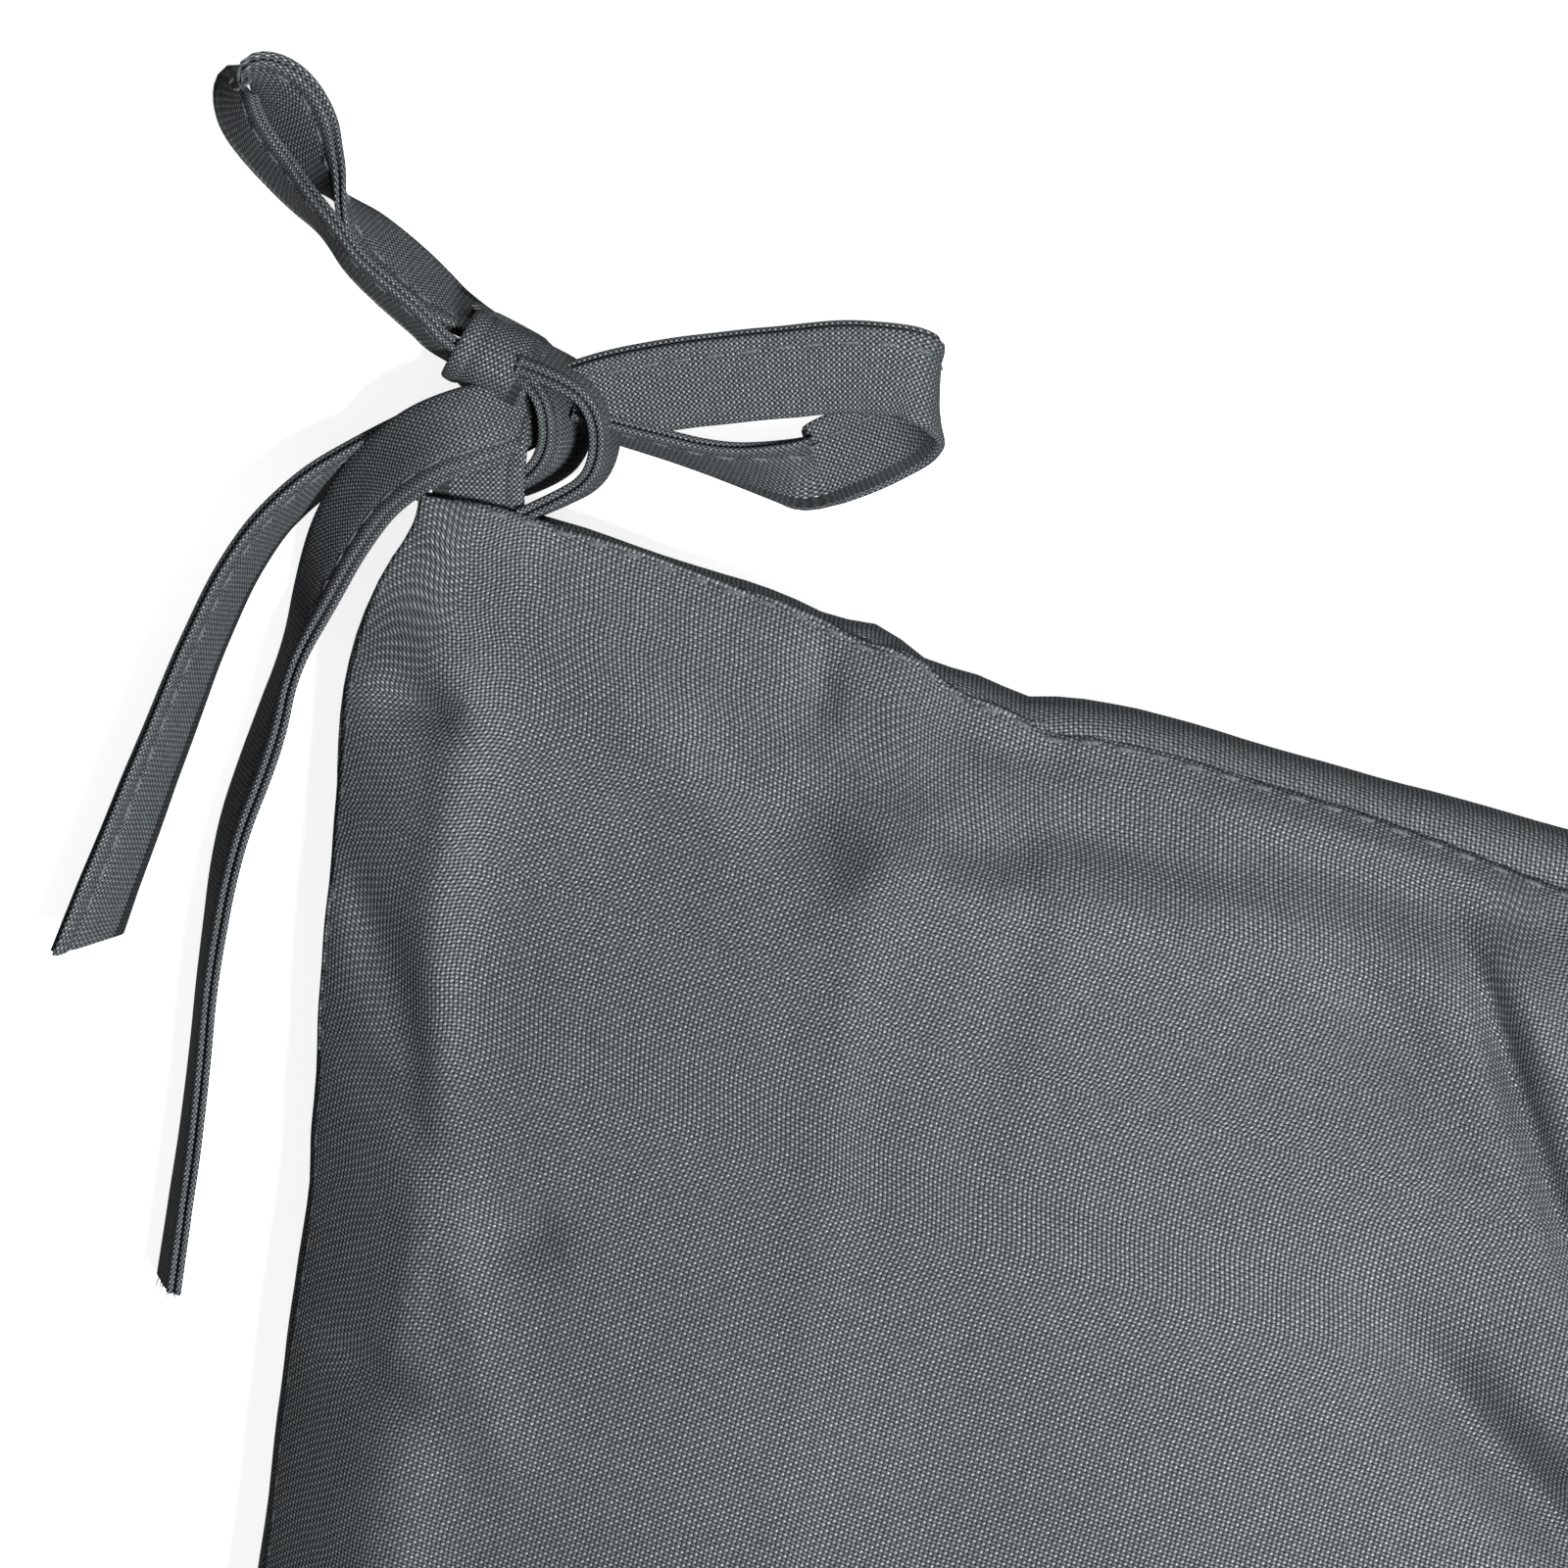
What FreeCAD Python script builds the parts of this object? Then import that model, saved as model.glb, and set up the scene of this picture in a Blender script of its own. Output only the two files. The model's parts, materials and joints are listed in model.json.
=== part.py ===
import FreeCAD, Part
import Sketcher
import math
import os

# Chair seat pad with a tie sewn into each rear corner.  Units are millimetres.
# Origin: middle of the pad's outline, on the surface it rests on.  +Z up, +Y to the chair's back.

SIZES = {
    # pad
    "seam_side": 400.0,          # seam line, corner to corner
    "side_pull": 12.0,           # how far each side draws in at its middle
    "corner_round": 3.0,
    "corner_ease": 0.75,         # how much rounder a corner gets for each mm that it is set in
    "pad_thick": 50.0,
    "seam_level": 12.0,          # height of the edge seam above the rest surface
    "top_fullness": 5.0,         # power of the upper panel's crown: higher is boxier
    "low_fullness": 9.0,         # power of the lower panel's, which lies nearly flat
    "low_press": 0.5,            # how far the rest surface presses the lower panel flat
    "cloth": 0.8,
    "cloth_edge": 1.3,           # the cloth's thickness measured level, where it meets the seam
    "seam_allow": 10.0,          # turned-in cloth along the seam
    "fill_gap": 0.6,             # room between the filling and the cloth
    "room_out": 5.0,             # how far the room for the turned-in cloth reaches past the seam
    "below_deep": 10.0,          # depth of the block that cuts away what is below the rest surface
    "thread": 0.7,
    # ties
    "tie_wide": 10.5,
    "tie_thick": 1.8,
    "tie_from_corner": 10.5,     # middle of the tie, along the rear seam from the corner
    "tie_splay": 12.0,           # degrees that the tie leans off square to the rear seam
    "rear_slope": 0.06,          # how far the rear seam draws in for each mm from its corner
    "sewn_from": 0.8,            # the sewn end starts this far inside the seam
    "sewn_long": 7.2,            # length of tie caught inside the seam
    "sewn_gap": 0.15,            # room round the sewn end
    "root_clear": 1.5,           # gap that lets the tie fold at the seam
    "root_end": 5.0,
    "knot_left": 0.0,
    "knot_wide": 14.0,
    "knot_front": 4.5,
    "knot_deep": 14.0,
    "knot_low": 0.6,
    "knot_tall": 13.4,
    "knot_round": 3.0,
    "loop_low": 0.6,
    "loop_tall": 9.5,
    "outer_tail_low": 0.4,
    "inner_tail_low": 2.9,
    "inner_tail_tall": 8.4,
    "stitch_in": 1.6,            # topstitching, in from the middle of the tie
    "stitch_front": 0.6,         # and forward of it
    "stitch_tall": 0.4,
}

# Routes of the tie's free stretches, seen from above in the tie's own frame: the origin is
# where the tie leaves the seam, +Y runs out along it, +X towards the middle of the pad.
UPPER_LOOP = [
    (3.5, 15.5), (-3.4, 20.2), (-11.2, 25.6), (-18.6, 31.8), (-24.6, 35.4), (-28.6, 40.6),
    (-29.4, 46.2), (-25.9, 49.2), (-22.3, 46.8), (-19.3, 41.8), (-17.0, 36.4), (-9.0, 29.4),
    (-1.0, 22.8), (6.0, 17.0),
]
SIDE_LOOP = [
    (7.5, 12.0), (16.5, 12.8), (29.7, 14.3), (42.0, 15.6), (49.4, 15.0), (52.6, 12.2),
    (49.8, 9.0), (43.0, 6.6), (36.0, 4.9), (29.2, 5.1), (21.6, 6.9), (13.0, 8.6),
]
OUTER_TAIL = [
    (-10.4, 10.0), (-17.0, 7.0), (-23.2, -0.8), (-28.4, -11.2), (-32.6, -23.2), (-38.2, -35.0),
    (-45.0, -49.0),
]
INNER_TAIL = [
    (-1.9, 10.8), (-8.0, 8.6), (-13.4, 3.0), (-16.6, -4.4), (-18.8, -12.2), (-21.2, -21.0),
    (-25.0, -32.0), (-28.2, -45.0), (-30.6, -59.5), (-33.2, -74.4), (-35.1, -88.8),
]
ARC_SHARE = 0.45                 # share of the shorter run that an arc takes up
GRID = 8                         # surface points from the middle of a panel to its edge

doc = FreeCAD.newDocument("chair_seat_pad")
sheet = doc.addObject("Spreadsheet::Sheet", "sizes")
for row, (word, value) in enumerate(SIZES.items(), start=1):
    sheet.set("A%d" % row, word)
    sheet.set("B%d" % row, str(value))
    sheet.setAlias("B%d" % row, word)
doc.recompute()

sub_parts = []


def size(word):
    """Read one driving dimension back from the sheet."""
    return float(sheet.get(word))


def named(item, label):
    """Keep a finished sub-part under the name that its file gets."""
    item.Label = label
    sub_parts.append(item)
    return item


def held_shape(name, shape):
    """A document object that holds a wire or a solid made from the sheet's sizes."""
    item = doc.addObject("Part::Feature", name)
    item.Shape = shape
    return item


def combine(kind, name, base, tool):
    item = doc.addObject(kind, name)
    item.Base = base
    item.Tool = tool
    return item


# ---- pad ------------------------------------------------------------------------------------

def outline(inset, level):
    """Closed outline of the pad, set in from the seam: four drawn-in sides, four round corners."""
    half = size("seam_side") / 2 - inset
    turn = size("corner_round") + size("corner_ease") * max(inset, 0.0)
    middle = half - size("side_pull")
    corner = half - turn * (1 - math.cos(math.radians(45)))
    edges = []
    for quarter in range(4):
        spin = FreeCAD.Rotation(FreeCAD.Vector(0, 0, 1), 90 * quarter)

        def place(x, y):
            return spin.multVec(FreeCAD.Vector(x, y, 0)) + FreeCAD.Vector(0, 0, level)

        side_start = place(half, turn - half)
        side_end = place(half, half - turn)
        next_start = place(half - turn, half)
        edges.append(Part.Arc(side_start, place(middle, 0), side_end).toShape())
        edges.append(Part.Arc(side_end, place(corner, corner), next_start).toShape())
    return Part.Wire(edges)


def crown(name, inset, rise, fullness):
    """Solid between the seam plane and one panel: rise is its height in the middle, down if negative."""
    half = size("seam_side") / 2 - inset
    pull = size("side_pull")
    steps = [math.sin(math.radians(90 * number / GRID)) for number in range(-GRID, GRID + 1)]
    grid = []
    for across in steps:
        line = []
        for along in steps:
            x = across * (half - pull * (1 - along ** 2))
            y = along * (half - pull * (1 - across ** 2))
            share = (1 - abs(across) ** fullness) * (1 - abs(along) ** fullness)
            line.append(FreeCAD.Vector(x, y, size("seam_level") + rise * share))
        grid.append(line)
    surface = Part.BSplineSurface()
    surface.interpolate(grid)
    panel = surface.toShape()
    rim = [side.Curve.toShape(*side.ParameterRange) for side in panel.OuterWire.OrderedEdges]
    shell = Part.makeShell([panel, Part.Face(Part.Wire(rim))])
    shell.sewShape()
    return held_shape(name, Part.makeSolid(shell))


def seam_ring(name, outer_inset, inner_inset, low, high):
    """Flat ring that runs round the pad inside the seam."""
    tall = FreeCAD.Vector(0, 0, high - low)
    outer = Part.Face(outline(outer_inset, low)).extrude(tall)
    inner = Part.Face(outline(inner_inset, low)).extrude(tall)
    return held_shape(name, outer.cut(inner))


def sewn_block(name, side, grow):
    """Box round the length of tie that the seam holds, on the left (-1) or right (+1)."""
    block = doc.addObject("Part::Box", name)
    block.setExpression("Length", "sizes.tie_wide + %g" % (2 * grow))
    block.setExpression("Width", "sizes.sewn_long + %g" % (2 * grow))
    block.setExpression("Height", "sizes.tie_thick + %g" % (2 * grow))
    corner = FreeCAD.Vector(
        -size("tie_wide") / 2 - grow,
        -size("sewn_from") - size("sewn_long") - grow,
        size("seam_level") - size("tie_thick") / 2 - grow,
    )
    frame = tie_frame(side)
    block.Placement = frame.multiply(FreeCAD.Placement(corner, FreeCAD.Rotation()))
    return block


def tie_frame(side):
    """Where a tie leaves the rear seam: its place, and its lean away from the pad's middle."""
    across = size("seam_side") / 2 - size("tie_from_corner")
    lean = math.radians(size("tie_splay"))
    back = size("seam_side") / 2 - size("tie_from_corner") * size("rear_slope")
    spin = FreeCAD.Rotation(FreeCAD.Vector(0, 0, 1), math.degrees(-side * lean))
    return FreeCAD.Placement(FreeCAD.Vector(side * across, back, 0), spin)


level = size("seam_level")
cloth = size("cloth")
edge = size("cloth_edge")
gap = size("fill_gap")
rise = size("pad_thick") - level
fall = -level - size("low_press")
top_full = size("top_fullness")
low_full = size("low_fullness")

top_outside = crown("top_outside", 0.0, rise, top_full)
top_inside = crown("top_inside", edge, rise - cloth, top_full)
top_filling = crown("top_filling", edge + 2 * gap, rise - cloth - gap, top_full)
low_outside = crown("low_outside", 0.0, fall, low_full)
low_inside = crown("low_inside", edge, -level + cloth, low_full)
low_filling = crown("low_filling", edge + 2 * gap, -level + cloth + gap, low_full)
below = doc.addObject("Part::Box", "below_rest_surface")
below.setExpression("Length", "2 * sizes.seam_side")
below.setExpression("Width", "2 * sizes.seam_side")
below.setExpression("Height", "sizes.below_deep")
below.Placement.Base = FreeCAD.Vector(-size("seam_side"), -size("seam_side"), -size("below_deep"))
low_pressed = combine("Part::Cut", "low_pressed", low_outside, below)

allow = size("seam_allow")
top_allowance = seam_ring("top_allowance", edge, allow, level, level + cloth)
low_allowance = seam_ring("low_allowance", edge, allow, level - cloth, level)
thread_inset = 2 * edge
half_thread = size("thread") / 2
seam_thread = seam_ring(
    "seam_thread", thread_inset, thread_inset + size("thread"), level - half_thread, level + half_thread
)
allowance_room = seam_ring(
    "allowance_room", -size("room_out"), allow + gap, level - cloth - gap, level + cloth + gap
)

sewn_ends = []
sewn_rooms = []
for side, hand in ((-1, "left"), (1, "right")):
    sewn_ends.append(named(sewn_block(hand + "_sewn_block", side, 0.0), hand + "_tie_sewn_end"))
    sewn_rooms.append(sewn_block(hand + "_sewn_room", side, size("sewn_gap")))
both_rooms = combine("Part::Fuse", "both_sewn_rooms", sewn_rooms[0], sewn_rooms[1])
held_inside = combine("Part::Fuse", "held_inside_seam", both_rooms, seam_thread)

top_shell = combine("Part::Cut", "top_shell", top_outside, top_inside)
top_joined = combine("Part::Fuse", "top_joined", top_shell, top_allowance)
named(combine("Part::Cut", "top_panel", top_joined, held_inside), "cover_top_panel")

low_shell = combine("Part::Cut", "low_shell", low_pressed, low_inside)
low_joined = combine("Part::Fuse", "low_joined", low_shell, low_allowance)
named(combine("Part::Cut", "low_panel", low_joined, held_inside), "cover_bottom_panel")

both_fillings = combine("Part::Fuse", "both_fillings", top_filling, low_filling)
named(combine("Part::Cut", "filling", both_fillings, allowance_room), "fibre_filling")
named(combine("Part::Cut", "edge_thread", seam_thread, both_rooms), "edge_seam_thread")


# ---- ties -----------------------------------------------------------------------------------

def route(points, height):
    """Straight runs joined by tangent arcs, each arc as large as its two runs allow."""
    corners = [FreeCAD.Vector(x, y, height) for x, y in points]
    edges = []
    radii = []
    last = corners[0]
    for before, corner, after in zip(corners, corners[1:], corners[2:]):
        towards = (corner - before).normalize()
        onwards = (after - corner).normalize()
        half_turn = towards.getAngle(onwards) / 2
        reach = ARC_SHARE * min((corner - before).Length, (after - corner).Length)
        radius = reach / math.tan(half_turn)
        start = corner - towards * reach
        end = corner + onwards * reach
        bisector = (onwards - towards).normalize()
        middle = corner + bisector * (radius / math.cos(half_turn) - radius)
        edges.append(Part.LineSegment(last, start).toShape())
        edges.append(Part.Arc(start, middle, end).toShape())
        radii.append(radius)
        last = end
    edges.append(Part.LineSegment(last, corners[-1]).toShape())
    return Part.Wire(edges), radii


def strip(name, points, low, across, tall):
    """A stretch of tie swept along its route: across is its plan width, tall its height."""
    middle = low + tall / 2
    wire, radii = route(points, middle)
    start = FreeCAD.Vector(points[0][0], points[0][1], middle)
    ahead = (FreeCAD.Vector(points[1][0], points[1][1], middle) - start).normalize()
    sideways = FreeCAD.Vector(-ahead.y, ahead.x, 0) * (across / 2)
    upwards = FreeCAD.Vector(0, 0, tall / 2)
    rim = [
        start + sideways + upwards,
        start - sideways + upwards,
        start - sideways - upwards,
        start + sideways - upwards,
    ]
    sweep = doc.addObject("Part::Sweep", name)
    sweep.Sections = [held_shape(name + "_section", Part.makePolygon(rim + rim[:1]))]
    sweep.Spine = (held_shape(name + "_route", wire), [])
    sweep.Solid = True
    sweep.Frenet = False
    doc.recompute()
    print("%s: length %.1f, radii %s" % (name, wire.Length, " ".join("%.1f" % r for r in radii)))
    print("    volume %.1f, section times length %.1f"
          % (sweep.Shape.Volume, across * tall * wire.Length))
    return sweep


def knot_body():
    """The bow's knot as one rounded block, sketched on the rest plane and padded upwards."""
    body = doc.addObject("PartDesign::Body", "knot")
    plane = [face for face in body.Origin.OriginFeatures if face.Role == "XY_Plane"][0]
    sketch = body.newObject("Sketcher::SketchObject", "knot_outline")
    sketch.AttachmentSupport = [(plane, "")]
    sketch.MapMode = "FlatFace"
    sketch.AttachmentOffset = FreeCAD.Placement(
        FreeCAD.Vector(0, 0, size("knot_low")), FreeCAD.Rotation()
    )
    wide = size("knot_wide")
    deep = size("knot_deep")
    left = size("knot_left")
    front = size("knot_front")
    corners = [(left, front), (left + wide, front), (left + wide, front + deep), (left, front + deep)]
    for number in range(4):
        start = FreeCAD.Vector(*corners[number], 0)
        end = FreeCAD.Vector(*corners[(number + 1) % 4], 0)
        sketch.addGeometry(Part.LineSegment(start, end))
    for number in range(4):
        sketch.addConstraint(Sketcher.Constraint("Coincident", number, 2, (number + 1) % 4, 1))
    for number in (0, 2):
        sketch.addConstraint(Sketcher.Constraint("Horizontal", number))
    for number in (1, 3):
        sketch.addConstraint(Sketcher.Constraint("Vertical", number))
    driven = (
        (Sketcher.Constraint("DistanceX", 0, 1, 0, 2, wide), "sizes.knot_wide"),
        (Sketcher.Constraint("DistanceY", 1, 1, 1, 2, deep), "sizes.knot_deep"),
        (Sketcher.Constraint("DistanceY", -1, 1, 0, 1, front), "sizes.knot_front"),
    )
    for constraint, source in driven:
        index = sketch.addConstraint(constraint)
        sketch.setExpression("Constraints[%d]" % index, source)
    sketch.addConstraint(Sketcher.Constraint("PointOnObject", 0, 1, -2))
    pad = body.newObject("PartDesign::Pad", "knot_block")
    pad.Profile = sketch
    pad.setExpression("Length", "sizes.knot_tall")
    doc.recompute()
    rounding = body.newObject("PartDesign::Fillet", "knot_rounding")
    rounding.Base = (pad, ["Edge%d" % (n + 1) for n in range(len(pad.Shape.Edges))])
    rounding.setExpression("Radius", "sizes.knot_round")
    body.Tip = rounding
    doc.recompute()
    return body


def root_strip():
    """The short stretch between the seam and the knot."""
    block = doc.addObject("Part::Box", "root_block")
    block.setExpression("Length", "sizes.tie_wide")
    block.setExpression("Width", "sizes.root_end - sizes.root_clear")
    block.setExpression("Height", "sizes.tie_thick")
    block.Placement.Base = FreeCAD.Vector(
        -size("tie_wide") / 2, size("root_clear"), level - size("tie_thick") / 2
    )
    return block


knot = knot_body()
tie_thick = size("tie_thick")
tie_wide = size("tie_wide")
upper_loop = strip("upper_loop_strip", UPPER_LOOP, size("loop_low"), tie_thick, size("loop_tall"))
side_loop = strip("side_loop_strip", SIDE_LOOP, size("loop_low"), tie_thick, size("loop_tall"))
outer_tail = strip("outer_tail_strip", OUTER_TAIL, size("outer_tail_low"), tie_wide, tie_thick)
inner_tail = strip("inner_tail_strip", INNER_TAIL, size("inner_tail_low"), tie_thick, size("inner_tail_tall"))
STITCH_POINTS = [(x + size("stitch_in"), y - size("stitch_front")) for x, y in OUTER_TAIL[1:]]
topstitch = strip(
    "topstitch_run", STITCH_POINTS, size("outer_tail_low") + tie_thick, size("thread"), size("stitch_tall")
)

# Pieces of one tie, in the tie's own frame.
TIE_PIECES = {
    "tie_root": combine("Part::Cut", "root", root_strip(), knot),
    "tie_knot": knot,
    "tie_upper_loop": combine("Part::Cut", "upper_loop", upper_loop, knot),
    "tie_side_loop": combine("Part::Cut", "side_loop", side_loop, knot),
    "tie_outer_tail": outer_tail,
    "tie_inner_tail": inner_tail,
    "tie_topstitch": topstitch,
}
doc.recompute()
for label, piece in TIE_PIECES.items():
    mirrored = doc.addObject("Part::Mirroring", "mirrored_" + label)
    mirrored.Source = piece
    mirrored.Normal = FreeCAD.Vector(1, 0, 0)
    doc.recompute()
    for side, hand, source in ((-1, "left", piece), (1, "right", mirrored)):
        copy = held_shape(hand + "_" + label, source.Shape.copy())
        copy.Placement = tie_frame(side)
        named(copy, hand + "_" + label)

doc.recompute()

# ---- checks and files -----------------------------------------------------------------------
for item in doc.Objects:
    if "Invalid" in item.State or "Error" in item.State:
        raise RuntimeError("%s failed to build: %s" % (item.Label, item.State))
for item in sub_parts:
    if item.Shape.isNull() or not item.Shape.isValid():
        raise RuntimeError("%s has no valid shape" % item.Label)

os.makedirs("parts", exist_ok=True)
for item in sub_parts:
    item.Shape.exportStep(os.path.join("parts", item.Label + ".step"))
    box = item.Shape.BoundBox
    print("%-24s solids %d  volume %9.1f  x %7.1f..%7.1f  y %7.1f..%7.1f  z %5.1f..%5.1f" % (
        item.Label, len(item.Shape.Solids), item.Shape.Volume,
        box.XMin, box.XMax, box.YMin, box.YMax, box.ZMin, box.ZMax,
    ))
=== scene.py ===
"""Chair seat pad: a crowned, knife-edged cushion with a folded cloth tie bowed at each rear corner.

The cover is two panels that meet at the edge seam.  Each tie is a folded, topstitched strip, drawn
in its own frame in millimetres: the origin is where it leaves the rear seam, +Y runs out along it,
+X towards the middle of the pad, +Z up from the surface that the pad rests on.
"""
import json
import math
import random

import bpy
import numpy as np
from mathutils import Matrix, Vector, noise


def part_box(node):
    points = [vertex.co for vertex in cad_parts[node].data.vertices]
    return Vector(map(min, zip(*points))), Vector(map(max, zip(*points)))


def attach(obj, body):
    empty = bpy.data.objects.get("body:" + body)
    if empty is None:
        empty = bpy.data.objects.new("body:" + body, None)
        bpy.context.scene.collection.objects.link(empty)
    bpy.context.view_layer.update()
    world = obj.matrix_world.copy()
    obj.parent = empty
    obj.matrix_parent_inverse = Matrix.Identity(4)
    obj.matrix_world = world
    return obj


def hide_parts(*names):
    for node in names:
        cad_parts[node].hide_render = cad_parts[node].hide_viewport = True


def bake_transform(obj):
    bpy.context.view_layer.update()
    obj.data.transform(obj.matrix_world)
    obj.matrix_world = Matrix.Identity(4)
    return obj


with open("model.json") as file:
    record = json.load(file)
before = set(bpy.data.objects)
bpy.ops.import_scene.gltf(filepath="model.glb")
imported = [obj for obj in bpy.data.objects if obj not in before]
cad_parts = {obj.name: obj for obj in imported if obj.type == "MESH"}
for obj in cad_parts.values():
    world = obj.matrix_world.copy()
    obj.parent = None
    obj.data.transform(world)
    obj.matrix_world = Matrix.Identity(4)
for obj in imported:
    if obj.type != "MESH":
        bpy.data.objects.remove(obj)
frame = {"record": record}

SCENE = bpy.context.scene
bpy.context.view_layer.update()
MM = 0.001

# ---- places read from the frame -------------------------------------------------------------
PANEL_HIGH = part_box("cover_top_panel")[1]
HALF_SIDE = PANEL_HIGH.x
PAD_TOP = PANEL_HIGH.z
JOINTS = {joint["name"]: joint for joint in frame["record"]["behaviour"]["joints"]}
TIE_ROOT = Vector(JOINTS["left_tie_fold"]["pos_m"])
TIE_ACROSS = Vector(JOINTS["left_tie_fold"]["axis"])
TIE_ALONG = Vector((-TIE_ACROSS.y, TIE_ACROSS.x, 0))
SIDE_PULL = 0.012               # how far each side draws in at its middle
CLOTH = 0.0006                  # thickness of the cover's cloth

HANDS = (("left", 1), ("right", -1))    # the right tie is the left one's mirror image


def tie_to_row(points, mirror):
    """Points of one tie, in its own millimetres, as metres in the row frame."""
    points = np.atleast_2d(np.asarray(points, float)) * MM
    row = points[:, :1] * np.array(TIE_ACROSS) + points[:, 1:2] * np.array(TIE_ALONG)
    row[:, 0] += TIE_ROOT.x
    row[:, 1] += TIE_ROOT.y
    row[:, 2] = points[:, 2]
    row[:, 0] *= mirror
    return row


# ---- materials ------------------------------------------------------------------------------

class Nodes:
    """Shorthand for building one node material."""

    def __init__(self, name):
        self.material = bpy.data.materials.new(name)
        self.material.use_nodes = True
        self.tree = self.material.node_tree
        self.shader = self.tree.nodes["Principled BSDF"]

    def add(self, kind, **values):
        node = self.tree.nodes.new(kind)
        for key, value in values.items():
            setattr(node, key, value)
        return node

    def cloth_place(self):
        return self.add("ShaderNodeAttribute", attribute_name="cloth").outputs["Vector"]

    def link(self, source, target):
        self.tree.links.new(source, target)

    def feed(self, socket, value):
        if isinstance(value, bpy.types.NodeSocket):
            self.link(value, socket)
        else:
            socket.default_value = value

    def maths(self, operation, first, second=0.0, third=0.0):
        node = self.add("ShaderNodeMath", operation=operation)
        for socket, value in zip(node.inputs, (first, second, third)):
            self.feed(socket, value)
        return node.outputs[0]

    def noise(self, vector, scale, detail=2.0, roughness=0.5):
        node = self.add("ShaderNodeTexNoise")
        self.feed(node.inputs["Vector"], vector)
        node.inputs["Scale"].default_value = scale
        node.inputs["Detail"].default_value = detail
        node.inputs["Roughness"].default_value = roughness
        return node.outputs[0]

    def mix(self, factor, first, second):
        node = self.add("ShaderNodeMix", data_type="RGBA")
        self.feed(node.inputs["Factor"], factor)
        self.feed(node.inputs["A"], first)
        self.feed(node.inputs["B"], second)
        return node.outputs["Result"]

    def spread(self, value, low, high, new_low, new_high):
        node = self.add("ShaderNodeMapRange")
        for socket, number in zip(node.inputs, (value, low, high, new_low, new_high)):
            self.feed(socket, number)
        return node.outputs[0]

    def bump(self, height, distance, strength=1.0):
        node = self.add("ShaderNodeBump")
        node.inputs["Strength"].default_value = strength
        node.inputs["Distance"].default_value = distance
        self.feed(node.inputs["Height"], height)
        return node.outputs[0]

    def random(self, first, second):
        """One random value from 0 to 1 for each pair of whole numbers."""
        pair = self.add("ShaderNodeCombineXYZ")
        self.feed(pair.inputs[0], first)
        self.feed(pair.inputs[1], second)
        node = self.add("ShaderNodeTexWhiteNoise", noise_dimensions="2D")
        self.link(pair.outputs[0], node.inputs["Vector"])
        return node.outputs[0]

    def finish(self, **values):
        for name, value in values.items():
            self.feed(self.shader.inputs[name.replace("_", " ")], value)
        return self.material


def grey(value):
    """A teal-grey colour of the given brightness."""
    return (value * 0.89, value * 1.02, value * 1.07, 1.0)


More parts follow.
